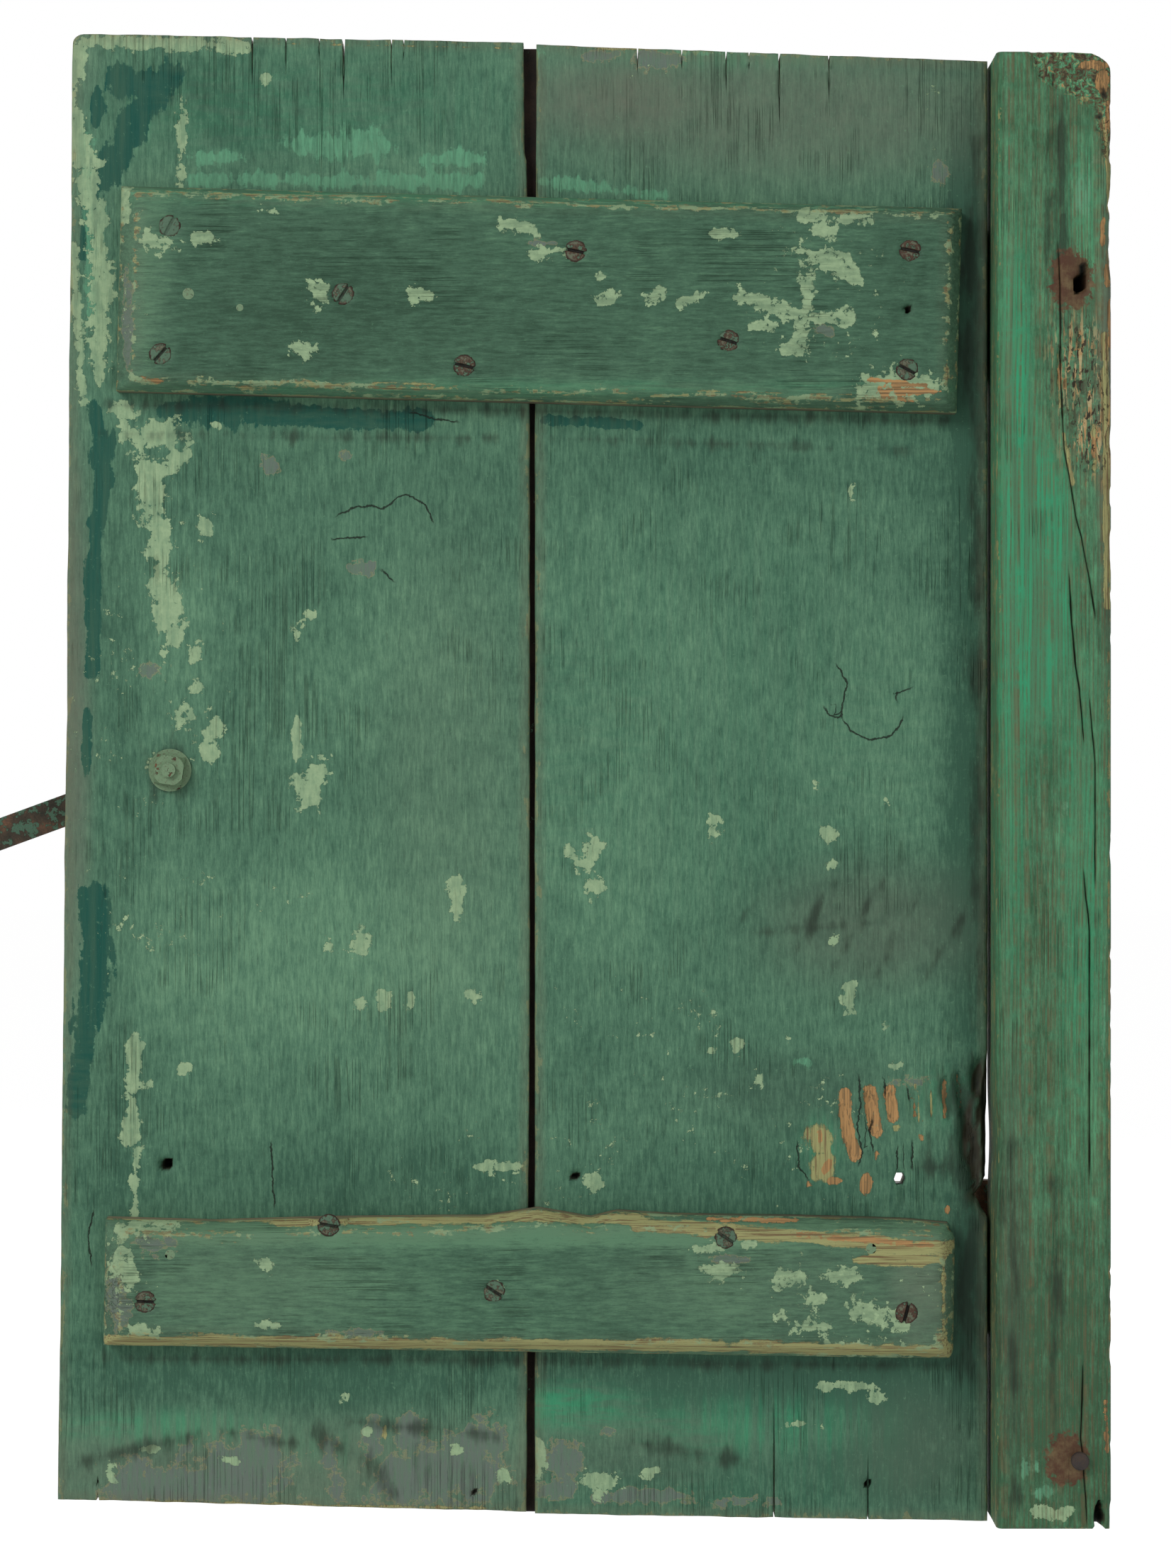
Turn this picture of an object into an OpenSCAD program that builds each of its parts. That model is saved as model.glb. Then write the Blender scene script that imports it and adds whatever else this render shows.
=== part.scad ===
// Weathered ledged hatch door on its hanging post.
// Two wide boards, joined by two screwed ledges, hang on a thick post by two strap
// hinges on the hidden face. A flat iron bar turns on a bolt through the free board.
// Frame: +X towards the post, +Y from the ledge face to the hinge face, +Z up.
// Origin: axis of the post's upper fixing hole, at the back face of the post.

/* [Post] */
// Width of the post
post_w = 63.5; // [52:0.5:80]
// Depth of the post, front to back
post_d = 63; // [54:1:80]
// Height of the post
post_h = 821.5; // [700:0.5:1000]
// Radius of the worn front arris beside the leaf
post_inner_round = 9; // [3:0.5:14]
// Radius of the front arris on the wall side
post_outer_round = 5; // [1:0.5:10]
// Distance of the fixings from the post's wall side
fixing_inset = 18; // [12:0.5:22]
// Distance of the upper fixing below the post's head
fixing_drop = 128.5; // [60:0.5:200]
// Distance between the upper and the lower fixing
fixing_pitch = 654.5; // [400:0.5:660]
// Diameter of the fixing holes
fixing_d = 9; // [6:0.5:10]
// Depth of the hollow worn into the post's inner arris
post_hollow = 3.2; // [1:0.1:5]

/* [Boards] */
// Thickness of the boards
board_t = 25; // [18:1:30]
// Width of the board on the post's side
right_board_w = 256; // [212:0.5:320]
// Width of the free board at its foot
left_board_w = 266; // [222:0.5:330]
// Height of the leaf beside the post
leaf_h = 825; // [700:1:1000]
// How far the leaf's foot hangs below the post's foot
leaf_below = 2.2; // [0:0.1:10]
// How much higher than the right board the left one sits
left_board_lift = 1.2; // [0:0.1:4]
// Open joint between the two boards, at its narrowest
board_gap = 2.5; // [1:0.1:5]
// Thickness of the right board's tongue, which closes the joint
tongue_t = 8; // [5:0.5:12]
// How far the tongue reaches across the joint and into the left board
tongue_l = 9.5; // [7:0.5:16]
// How far the tongue's head stands below the right board's head
tongue_drop = 0.8; // [0:0.1:5]
// Gap between leaf and post
hinge_gap = 2; // [1.5:0.1:5]
// Slope of the right board's head, in degrees
right_head_slope = 2.1; // [0:0.1:3]
// Slope of the left board's head, in degrees
left_head_slope = 1.1; // [0:0.1:3]
// Slope of the right board's foot, in degrees
right_foot_slope = 0.9; // [0:0.1:2]
// Slope of the left board's foot, in degrees
left_foot_slope = 1.5; // [0:0.1:2]
// Lean of the free edge, in degrees
free_edge_lean = 0.55; // [0:0.05:1]
// Radius of the worn head corner of the free edge
head_corner_r = 7; // [2:1:20]

/* [Ledges] */
// Thickness of the ledges
ledge_t = 22; // [16:1:30]
// Length of the upper ledge
upper_ledge_l = 472; // [440:1:490]
// Height of the upper ledge
upper_ledge_h = 115; // [100:1:140]
// Clockwise tilt of the upper ledge, in degrees
upper_ledge_tilt = 1.5; // [0:0.1:2]
// Height of the upper ledge's middle above the upper fixing
upper_ledge_z = -6.8; // [-20:0.1:20]
// Length of the lower ledge
lower_ledge_l = 477; // [445:1:490]
// Height of the lower ledge at its ends
lower_ledge_h = 76; // [72:1:100]
// Rise of the lower ledge's bowed top edge at its middle
lower_ledge_bow = 4.5; // [2:0.5:12]
// Clockwise tilt of the lower ledge, in degrees
lower_ledge_tilt = 0.9; // [0:0.1:2]
// How much less than the ledge its bowed edge tilts, in degrees
lower_ledge_spread = 0.9; // [0:0.1:2]
// Depth of the lower ledge's middle below the upper fixing
lower_ledge_drop = 559.6; // [540:0.1:580]
// Distance of the upper ledge from the leaf's hinge edge
upper_ledge_inset = 17; // [5:0.5:40]
// Distance of the lower ledge from the leaf's hinge edge
lower_ledge_inset = 20; // [5:0.5:40]
// Width of the bevels along the ledges' front edges
bevel_w = 5.5; // [3:0.5:10]
// Width of the bevel on the ledges' ends
end_bevel_w = 10; // [4:0.5:14]
// Depth of the bevels
bevel_d = 9; // [3:0.5:14]

/* [Fasteners] */
// Head diameter of the ledge screws
screw_head_d = 12.6; // [10:0.1:14]
// Shank diameter of the ledge screws
screw_shank_d = 5.4; // [4:0.1:7]
// Length of the ledge screws
screw_l = 40; // [30:1:42]
// Width of the screw slots
slot_w = 1.6; // [1:0.1:2]
// Shank diameter of the small nails
nail_d = 3; // [2:0.1:4]
// Length of the small nails
nail_l = 36; // [25:1:42]
// How far the post's spike stands out in front
spike_proud = 5; // [2:0.5:10]
// How far the spike's point stands out behind the post
spike_point = 25; // [10:1:60]

/* [Latch] */
// Distance of the latch bolt from the middle of the open joint
latch_bolt_x = 204; // [120:1:215]
// Depth of the latch bolt below the upper fixing
latch_bolt_drop = 271; // [240:1:340]
// Diameter of the latch bolt
latch_bolt_d = 8; // [6:0.5:12]
// Side of the square nut and of the bolt's square head
latch_nut_w = 16; // [14:0.1:20]
// Thickness of the nut
latch_nut_t = 7; // [5:0.5:10]
// Diameter of the washer
latch_washer_d = 24; // [22:0.5:30]
// Thickness of the washer
latch_washer_t = 2; // [1:0.1:3]
// Length of the bar from the bolt to its outer end
bar_l = 180; // [100:1:220]
// Width of the bar
bar_w = 17.4; // [14:0.1:24]
// Thickness of the bar
bar_t = 5; // [3:0.5:8]
// Fall of the bar towards its outer end, in degrees
bar_fall = 20.1; // [0:0.1:60]

/* [Hinges] */
// Diameter of the hinge pins
pin_d = 8; // [6:0.5:10]
// Wall of the rolled knuckles
knuckle_wall = 3; // [2:0.25:4]
// Thickness of the straps and plates
strap_t = 3.5; // [2:0.25:5]
// Length of the straps on the leaf
strap_l = 300; // [200:1:400]
// Height of the straps at the knuckle, which is the middle knuckle's height
strap_root_h = 36; // [28:1:44]
// Height of the straps at the tip
strap_tip_h = 22; // [16:1:28]
// Height of each of the post plate's two knuckles
plate_knuckle_h = 24; // [16:1:34]
// Width of the post plate behind the knuckles
plate_w = 24; // [20:0.5:26]
// Depth of the upper hinge's middle below the upper fixing
upper_hinge_drop = 8; // [0:1:16]
// Depth of the lower hinge's middle below the upper fixing
lower_hinge_drop = 550; // [545:1:556]
// Head diameter of the hinge screws
hinge_screw_head_d = 10; // [8:0.5:11]
// Shank diameter of the hinge screws
hinge_screw_d = 4.8; // [3.5:0.1:5.5]
// Length of the strap screws
strap_screw_l = 36; // [26:1:40]
// Length of the post plate screws
plate_screw_l = 32; // [20:1:45]

/* [Hidden] */
$fn = 64;

// Clearances
wood_fit = 0.05;     // round a screw, nail or bolt in its hole
pin_fit = 0.06;      // radial, round a hinge pin
bar_fit = 0.08;      // radial, round the latch bolt in the bar
side_fit = 0.3;      // between faces that slide past each other
tongue_fit = 0.3;    // on each side of the tongue in its groove
tongue_end_fit = 1.5; // between the tongue's edge and the bottom of the groove
tongue_root = 6;     // how far the tongue runs back into its own board, past the worn edge
tongue_foot_lift = 0.3; // between the right board's foot and the tongue's foot
knuckle_fit = 0.4;   // between neighbouring knuckles, along the pin
barrel_lift = 0.5;   // between the knuckles and the back faces of leaf and post
past = 2;            // overrun of cutting tools past a face

// Places along X
post_right = fixing_inset;
post_left = post_right - post_w;
leaf_right = post_left - hinge_gap;
joint_right = leaf_right - right_board_w;
joint_left = joint_right - board_gap;
joint_x = (joint_left + joint_right) / 2;
free_foot_x = joint_left - left_board_w;
bolt_x = joint_x - latch_bolt_x;

// Places along Z
post_top = fixing_drop;
post_foot = post_top - post_h;
leaf_foot = post_foot - leaf_below;
leaf_top = leaf_foot + leaf_h;
bolt_z = -latch_bolt_drop;
hinge_drops = [upper_hinge_drop, lower_hinge_drop];

// Places along Y: every back face of wood lies at 0
board_front = -board_t;
tongue_y = board_front + (board_t - tongue_t) / 2;
ledge_front = -board_t - ledge_t;
post_front = -post_d;

// Lines of the leaf's ends: a board's head and foot rise towards the free edge
function right_head(x) = leaf_top + (leaf_right - x) * tan(right_head_slope);
function right_foot(x) = leaf_foot + (leaf_right - x) * tan(right_foot_slope);
function left_head(x) = right_head(joint_right) + left_board_lift + (joint_left - x) * tan(left_head_slope);
function left_foot(x) = right_foot(joint_right) + left_board_lift + (joint_left - x) * tan(left_foot_slope);
free_head_x = free_foot_x + (leaf_h - head_corner_r) * tan(free_edge_lean);

// Wear of the open joint: [share of the leaf's height, depth worn off the edge]
left_joint_wear = [[0, 1.9], [0.2, 0.8], [0.35, 0], [0.74, 0], [0.9, 1.8], [0.92, 3.0], [1, 3.5]];
right_joint_wear = [[0, 0], [0.74, 0], [0.9, 0.6], [1, 1.1]];

// End splits: [distance from the joint's middle, length, width at the end]
left_head_splits = [
    [158, 34, 1.4], [139, 24, 1.0], [120, 14, 0.8], [106.5, 39, 1.8], [79.5, 30, 1.0], [72.5, 10, 0.8],
];
left_foot_splits = [[245, 8, 1.4], [33, 9, 0.8]];
right_head_splits = [
    [60, 16, 0.8], [85, 11, 0.8], [109.5, 25, 1.1], [123, 8, 0.8], [140, 47, 1.4], [168, 26, 1.2],
    [237, 8, 1],
];
right_foot_splits = [[137, 80, 1.2], [190, 36, 1.0]];

// Old nail holes in the boards: [distance from the joint's middle, drop below the upper fixing, diameter]
left_nail_holes = [[207, 494, 6], [33, 679.5, 2.5]];
right_nail_holes = [[24, 500.5, 3.4], [207.5, 502, 4.8], [190, 674.5, 3.4]];

// Screws in the ledges: [distance from the free end, or from the inner end where it is negative,
// height above the ledge's middle, turn of the slot in degrees]
upper_screws = [
    [28.5, 35, 62], [25, -37, 48], [126.5, -0.5, 57], [195.5, -39, -13],
    [-216, 27, -12], [-129, -21, -18], [-29, 32.5, -12], [-29, -34.5, -28],
];
lower_screws = [[126.5, 32.5, -10], [24, -12, -2], [219, -3, -32], [-128.5, 29, -33], [-27, -11.5, 75]];
// Small nails in the ledges: [distance from an end as above, height, diameter of the head]
upper_nails = [[40, -3, 6.4], [69, -10, 4]];
lower_nails = [[37.5, 14.5, 5.6], [-47.5, 24, 5.8]];
// Empty nail hole in the upper ledge: [distance from an end as above, height, diameter]
ledge_hole = [-30, -0.5, 4.2];
ledge_hole_depth = 18;

// Ledges: places of their middles, and of a fastener at p along a ledge
function along(p, length) = p > 0 ? p - length / 2 : p + length / 2;
upper_ledge_x = leaf_right - upper_ledge_inset - upper_ledge_l / 2;
lower_ledge_x = leaf_right - lower_ledge_inset - lower_ledge_l / 2;
bow_steps = 8;
bow_full_h = lower_ledge_h + 2 * lower_ledge_bow + lower_ledge_l * tan(lower_ledge_spread);

// Screw proportions
head_share = 0.32;       // height of a countersunk head over its diameter
point_l = 8;             // length of a screw's point
nail_point_l = 4;
point_r = 0.5;           // radius of the blunt tip of a point
slot_depth = 1.8;
nail_head_h = 1.6;

// Hinge barrel
knuckle_r = pin_d / 2 + knuckle_wall;
hinge_x = leaf_right + hinge_gap / 2;
hinge_y = knuckle_r + barrel_lift;
plate_h = strap_root_h + 2 * (plate_knuckle_h + knuckle_fit);
pin_head_h = 2.5;
pin_head_r = knuckle_r - 1;
strap_end_x = leaf_right - strap_l;
strap_screw_xs = [for (i = [0 : 3]) leaf_right - 28 - i * (strap_l - 28 - 20) / 3];
plate_left = hinge_x + knuckle_r + side_fit;
plate_screw_zs = [-plate_h / 2 + 12, 0, plate_h / 2 - 12];
plate_screw_x = plate_left + plate_w / 2;

// Latch stack, from the front
washer_front = board_front - latch_washer_t;
nut_front = washer_front - latch_nut_t;
latch_bolt_tip = nut_front - 3;
bar_back = side_fit + bar_t;
latch_head_t = 6;
latch_head_back = bar_back + side_fit + latch_head_t;

// Rotted edge of the right board: a shallow bite and a notch
rot_z = -480;
rot_bite = 16;
rot_half_h = 42;
rot_depth = 8;
slit_w = 2;
slit_half_h = 22;
rot_sum = pow(rot_half_h, 2) / rot_bite;
rot_out = (rot_sum - rot_bite) / 2;
rot_lift = (pow(rot_half_h, 2) - pow(rot_depth, 2)) / (2 * rot_depth);
rot_r = sqrt(pow(rot_out + rot_bite, 2) + pow(rot_lift, 2));
notch_depth = 4.5;
notch_h = 14;

// Hollow of the post's inner arris beside the rot
hollow_half_h = 32;
hollow_r = (pow(hollow_half_h, 2) + pow(post_hollow, 2)) / (2 * post_hollow);

// Head of the spike
spike_head_r = fixing_d / 2 + 0.4;

// Broken head corner and foot notch of the post
post_corner_r = 14;
foot_notch_w = 6;
foot_notch_h = 13;
foot_notch_d = 10;
foot_notch_x = post_right - 7;

paint = [0.27, 0.46, 0.35];
post_paint = [0.25, 0.51, 0.37];
screw_paint = [0.33, 0.42, 0.36];
rust = [0.30, 0.20, 0.16];

// A flat outline drawn in X and Z, standing in front of the plane y = back
module standing(thickness, back = 0) {
    translate([0, back, 0]) rotate([90, 0, 0]) linear_extrude(thickness) children();
}

// Puts children drawn along +Z so that they point from the front (into +Y)
module from_front(x, y, z) {
    translate([x, y, z]) rotate([-90, 0, 0]) children();
}

// Puts children drawn along +Z so that they point from the back (into -Y)
module from_back(x, y, z) {
    translate([x, y, z]) rotate([90, 0, 0]) children();
}

// Countersunk wood screw, its head's face at 0, pointing along +Z; its hole is wider by grow
// all round and runs out in front of the head by lead
module screw(head_d, shank_d, length, grow = 0, lead = 0) {
    head_r = head_d / 2 + grow;
    shank_r = shank_d / 2 + grow;
    rotate_extrude() polygon([
        [0, -lead], [head_r, -lead], if (lead > 0) [head_r, 0], [shank_r, head_d * head_share],
        [shank_r, length - point_l], [point_r, length + grow], [0, length + grow],
    ]);
}

module slotted_screw(head_d, shank_d, length, turn) {
    difference() {
        screw(head_d, shank_d, length);
        rotate([0, 0, turn]) translate([-head_d, -slot_w / 2, -past])
            cube([2 * head_d, slot_w, past + slot_depth]);
    }
}

// Flat-headed nail, its head's face at 0, pointing along +Z, or its hole in the same way
module nail(head_d, grow = 0, lead = 0) {
    head_r = head_d / 2 + grow;
    shank_r = nail_d / 2 + grow;
    rotate_extrude() polygon([
        [0, -lead], [head_r, -lead], [head_r, nail_head_h + grow], [shank_r, nail_head_h + grow],
        [shank_r, nail_l - nail_point_l], [point_r, nail_l + grow], [0, nail_l + grow],
    ]);
}

// A split that opens from a board's end; up is 1 at the head and -1 at the foot
module end_split(x, z, length, width, up) {
    tip = 0.1;
    waist = width * 0.3;
    standing(board_t + 2 * past, past) translate([x, z]) scale([1, up])
        polygon([[-width / 2, past], [-waist, -length / 2], [-tip, -length],
                 [tip, -length], [waist, -length / 2], [width / 2, past]]);
}

// Puts children drawn about a ledge's middle into their tilted place on the leaf
module at_ledge(x, z, tilt) {
    translate([x, 0, z]) rotate([0, tilt, 0]) children();
}

module ledge_screw_set(places, length) {
    for (p = places)
        from_front(along(p[0], length), ledge_front, p[1])
            slotted_screw(screw_head_d, screw_shank_d, screw_l, -p[2]);
}

module ledge_screw_holes(places, length) {
    for (p = places)
        from_front(along(p[0], length), ledge_front, p[1])
            screw(screw_head_d, screw_shank_d, screw_l, wood_fit, past);
}

module ledge_nail_set(places, length) {
    for (p = places) from_front(along(p[0], length), ledge_front, p[1]) nail(p[2]);
}

module ledge_nail_holes(places, length) {
    for (p = places) from_front(along(p[0], length), ledge_front, p[1]) nail(p[2], wood_fit, past);
}

module upper_place() {
    at_ledge(upper_ledge_x, upper_ledge_z, upper_ledge_tilt) children();
}

module lower_place() {
    at_ledge(lower_ledge_x, -lower_ledge_drop, lower_ledge_tilt) children();
}

// Every hole that fasteners make in the leaf
module leaf_holes() {
    upper_place() {
        ledge_screw_holes(upper_screws, upper_ledge_l);
        ledge_nail_holes(upper_nails, upper_ledge_l);
    }
    lower_place() {
        ledge_screw_holes(lower_screws, lower_ledge_l);
        ledge_nail_holes(lower_nails, lower_ledge_l);
    }
    for (drop = hinge_drops, x = strap_screw_xs)
        from_back(x, strap_t, -drop)
            screw(hinge_screw_head_d, hinge_screw_d, strap_screw_l, wood_fit, past);
}

module latch_hole() {
    from_front(bolt_x, board_front - past, bolt_z)
        cylinder(h = board_t + 2 * past, r = latch_bolt_d / 2 + wood_fit);
}

module left_outline() {
    edge = [for (w = left_joint_wear)
        let (x = joint_left - w[1]) [x, left_foot(x) + w[0] * (left_head(x) - left_foot(x))]];
    corner = [for (a = [90 : 15 : 180])
        [free_head_x + head_corner_r * (1 + cos(a)), left_head(free_head_x) - head_corner_r * (1 - sin(a))]];
    polygon(concat([[free_foot_x, left_foot(free_foot_x)]], edge, corner));
}

// The groove that takes the tongue, cut along the left board's joint edge
module tongue_groove() {
    deep = tongue_l - board_gap + tongue_end_fit;
    foot = right_foot(joint_right) - past;
    translate([joint_left - deep, tongue_y - tongue_fit, foot])
        cube([deep + past, tongue_t + 2 * tongue_fit, left_head(joint_left) + past - foot]);
}

// The tongue along the right board's joint edge
module joint_tongue() {
    foot = right_foot(joint_right) + tongue_foot_lift;
    translate([joint_right - tongue_l, tongue_y, foot])
        cube([tongue_l + tongue_root, tongue_t, right_head(joint_right) - tongue_drop - foot]);
}

module left_board() {
    color(paint) difference() {
        standing(board_t) left_outline();
        tongue_groove();
        for (s = left_head_splits) end_split(joint_x - s[0], left_head(joint_x - s[0]), s[1], s[2], 1);
        for (s = left_foot_splits) end_split(joint_x - s[0], left_foot(joint_x - s[0]), s[1], s[2], -1);
        for (h = left_nail_holes)
            from_front(joint_x - h[0], board_front - past, -h[1])
                cylinder(h = board_t + 2 * past, r = h[2] / 2);
        leaf_holes();
        latch_hole();
    }
}

module right_outline() {
    edge = [for (w = right_joint_wear)
        let (x = joint_right + w[1]) [x, right_head(x) - (1 - w[0]) * (right_head(x) - right_foot(x))]];
    notch_z = rot_z - slit_half_h - notch_h / 2 - 2;
    polygon(concat([for (i = [len(edge) - 1 : -1 : 0]) edge[i]],
        [[leaf_right, leaf_foot], [leaf_right, notch_z - notch_h / 2],
         [leaf_right - notch_depth, notch_z + notch_h * 0.4], [leaf_right, notch_z + notch_h / 2],
         [leaf_right - slit_w, rot_z - slit_half_h], [leaf_right - slit_w, rot_z + slit_half_h - 2 * slit_w],
         [leaf_right, rot_z + slit_half_h], [leaf_right, leaf_top]]));
}

module right_board() {
    color(paint) difference() {
        union() {
            standing(board_t) right_outline();
            joint_tongue();
        }
        for (s = right_head_splits) end_split(joint_x + s[0], right_head(joint_x + s[0]), s[1], s[2], 1);
        for (s = right_foot_splits) end_split(joint_x + s[0], right_foot(joint_x + s[0]), s[1], s[2], -1);
        for (h = right_nail_holes)
            from_front(joint_x + h[0], board_front - past, -h[1])
                cylinder(h = board_t + 2 * past, r = h[2] / 2);
        translate([leaf_right + rot_out, board_front - rot_lift, rot_z]) sphere(r = rot_r);
        leaf_holes();
    }
}

// A ledge drawn about its middle: section with long bevels, cut to length with end bevels
module ledge_block(length, height, bevel_top = true) {
    top = height / 2;
    intersection() {
        translate([-length / 2, 0, 0]) rotate([90, 0, 90]) linear_extrude(length)
            polygon([[board_front, -top], [ledge_front + bevel_d, -top], [ledge_front, -top + bevel_w],
                     [ledge_front, bevel_top ? top - bevel_w : top],
                     [bevel_top ? ledge_front + bevel_d : ledge_front, top], [board_front, top]]);
        translate([0, 0, -top - past]) linear_extrude(height + 2 * past)
            polygon([[-length / 2, board_front], [-length / 2, ledge_front + bevel_d],
                     [-length / 2 + end_bevel_w, ledge_front], [length / 2 - bevel_w, ledge_front],
                     [length / 2, ledge_front + bevel_d], [length / 2, board_front]]);
    }
}

module upper_ledge() {
    color(paint) difference() {
        upper_place() difference() {
            ledge_block(upper_ledge_l, upper_ledge_h);
            from_front(along(ledge_hole[0], upper_ledge_l), ledge_front - past, ledge_hole[1])
                cylinder(h = ledge_hole_depth + past, r = ledge_hole[2] / 2);
        }
        leaf_holes();
    }
}

// Points of the lower ledge's bowed top edge, from its free end
function bow_x(i) = lower_ledge_l * (i / bow_steps - 0.5);
function bow_z(x) = lower_ledge_h / 2 + lower_ledge_bow * (1 - pow(2 * x / lower_ledge_l, 2))
    + x * tan(lower_ledge_spread);

module bowed_outline() {
    polygon(concat([[-lower_ledge_l, -lower_ledge_h], [lower_ledge_l, -lower_ledge_h]],
        [for (i = [bow_steps + 1 : -1 : -1]) [bow_x(i), bow_z(bow_x(i))]]));
}

// Cuts the bevel along each stretch of the bowed edge
module bow_bevels() {
    rise = past * bevel_w / bevel_d;
    for (i = [0 : bow_steps - 1]) {
        run = bow_x(i + 1) - bow_x(i);
        climb = bow_z(bow_x(i + 1)) - bow_z(bow_x(i));
        translate([bow_x(i), 0, bow_z(bow_x(i))]) rotate([0, -atan2(climb, run), 0])
            translate([-past, 0, 0]) rotate([90, 0, 90]) linear_extrude(run + 2 * past)
                polygon([[ledge_front - past, -bevel_w - rise], [ledge_front + bevel_d + past, rise],
                         [ledge_front - past, rise + past]]);
    }
}

module lower_ledge() {
    color(paint) difference() {
        lower_place() difference() {
            intersection() {
                translate([0, 0, (bow_full_h - lower_ledge_h) / 2])
                    ledge_block(lower_ledge_l, bow_full_h, false);
                standing(board_t + ledge_t + past) bowed_outline();
            }
            bow_bevels();
        }
        leaf_holes();
    }
}

module upper_ledge_screws() {
    color(screw_paint) upper_place() ledge_screw_set(upper_screws, upper_ledge_l);
}

module lower_ledge_screws() {
    color(screw_paint) lower_place() ledge_screw_set(lower_screws, lower_ledge_l);
}

module ledge_nails() {
    color(rust) {
        upper_place() ledge_nail_set(upper_nails, upper_ledge_l);
        lower_place() ledge_nail_set(lower_nails, lower_ledge_l);
    }
}

module post_section() {
    inner = post_inner_round;
    outer = post_outer_round;
    difference() {
        translate([post_left, post_front]) square([post_w, post_d]);
        translate([post_left, post_front]) difference() {
            translate([-past, -past]) square(inner + past);
            translate([inner, inner]) circle(inner);
        }
        translate([post_right, post_front]) mirror([1, 0]) difference() {
            translate([-past, -past]) square(outer + past);
            translate([outer, outer]) circle(outer);
        }
    }
}

module hanging_post() {
    color(post_paint) difference() {
        translate([0, 0, post_foot]) linear_extrude(post_h) post_section();
        standing(post_d + 2 * past, past) translate([post_right, post_top]) difference() {
            translate([-post_corner_r, -post_corner_r]) square(post_corner_r + past);
            translate([-post_corner_r, -post_corner_r]) circle(post_corner_r);
        }
        from_back(post_left + post_hollow - hollow_r, board_front, rot_z)
            cylinder(h = post_d, r = hollow_r, $fn = 360);
        translate([foot_notch_x - foot_notch_w / 2, post_front - past, post_foot - past])
            cube([foot_notch_w, foot_notch_d + past, foot_notch_h + past]);
        from_front(0, post_front - past, 0) cylinder(h = post_d + 2 * past, r = fixing_d / 2);
        from_front(0, post_front - past, -fixing_pitch)
            cylinder(h = post_d + 2 * past, r = fixing_d / 2 + wood_fit);
        for (drop = hinge_drops, z = plate_screw_zs)
            from_back(plate_screw_x, strap_t, z - drop)
                screw(hinge_screw_head_d, hinge_screw_d, plate_screw_l, wood_fit, past);
    }
}

// A round spike through the post, its blunt head in front and its point behind
module post_spike() {
    color(rust) from_front(0, post_front - spike_proud, -fixing_pitch) {
        cylinder(h = 1, r1 = spike_head_r - 1, r2 = spike_head_r);
        translate([0, 0, 1]) cylinder(h = spike_proud - 1 - side_fit, r = spike_head_r);
        cylinder(h = spike_proud + post_d, r = fixing_d / 2);
        translate([0, 0, spike_proud + post_d]) cylinder(h = spike_point, r1 = fixing_d / 2, r2 = 1);
    }
}

module hinge_strap(drop) {
    tip_r = strap_tip_h / 2;
    color(rust) difference() {
        translate([0, 0, -drop]) {
            standing(strap_t, strap_t)
                polygon([[hinge_x, strap_root_h / 2], [leaf_right - 40, strap_root_h / 2],
                         [strap_end_x + tip_r, tip_r], [strap_end_x + tip_r, -tip_r],
                         [leaf_right - 40, -strap_root_h / 2], [hinge_x, -strap_root_h / 2]]);
            from_back(strap_end_x + tip_r, strap_t, 0) cylinder(h = strap_t, r = tip_r);
            translate([hinge_x, hinge_y, -strap_root_h / 2]) cylinder(h = strap_root_h, r = knuckle_r);
        }
        translate([hinge_x, hinge_y, -drop - plate_h]) cylinder(h = 2 * plate_h, r = pin_d / 2 + pin_fit);
        for (x = strap_screw_xs)
            from_back(x, strap_t, -drop)
                screw(hinge_screw_head_d, hinge_screw_d, strap_screw_l, wood_fit, past);
    }
}

module upper_strap() {
    hinge_strap(upper_hinge_drop);
}

module lower_strap() {
    hinge_strap(lower_hinge_drop);
}

module post_plate(drop) {
    middle_gap = strap_root_h / 2 + knuckle_fit;
    color(rust) difference() {
        translate([0, 0, -drop]) {
            translate([plate_left, 0, -plate_h / 2]) cube([plate_w, strap_t, plate_h]);
            for (side = [-1, 1])
                translate([hinge_x, 0, side > 0 ? middle_gap : -plate_h / 2]) {
                    cube([plate_left - hinge_x, strap_t, plate_knuckle_h]);
                    translate([0, hinge_y, 0]) cylinder(h = plate_knuckle_h, r = knuckle_r);
                }
        }
        translate([hinge_x, hinge_y, -drop - plate_h]) cylinder(h = 2 * plate_h, r = pin_d / 2 + pin_fit);
        for (z = plate_screw_zs)
            from_back(plate_screw_x, strap_t, z - drop)
                screw(hinge_screw_head_d, hinge_screw_d, plate_screw_l, wood_fit, past);
    }
}

module upper_post_plate() {
    post_plate(upper_hinge_drop);
}

module lower_post_plate() {
    post_plate(lower_hinge_drop);
}

// A headed pin, dropped through the knuckles from above
module hinge_pin(drop) {
    seat = plate_h / 2 + side_fit / 2;
    color(rust) translate([hinge_x, hinge_y, -drop])
        rotate_extrude() polygon([
            [0, -plate_h / 2], [pin_d / 2, -plate_h / 2], [pin_d / 2, seat], [pin_head_r, seat],
            [pin_head_r - 1.5, seat + pin_head_h], [0, seat + pin_head_h],
        ]);
}

module upper_hinge_pin() {
    hinge_pin(upper_hinge_drop);
}

module lower_hinge_pin() {
    hinge_pin(lower_hinge_drop);
}

module strap_screws() {
    color(rust) for (drop = hinge_drops, x = strap_screw_xs)
        from_back(x, strap_t, -drop) slotted_screw(hinge_screw_head_d, hinge_screw_d, strap_screw_l, 25 + x);
}

module post_plate_screws() {
    color(rust) for (drop = hinge_drops, z = plate_screw_zs)
        from_back(plate_screw_x, strap_t, z - drop)
            slotted_screw(hinge_screw_head_d, hinge_screw_d, plate_screw_l, 40 + z);
}

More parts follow.
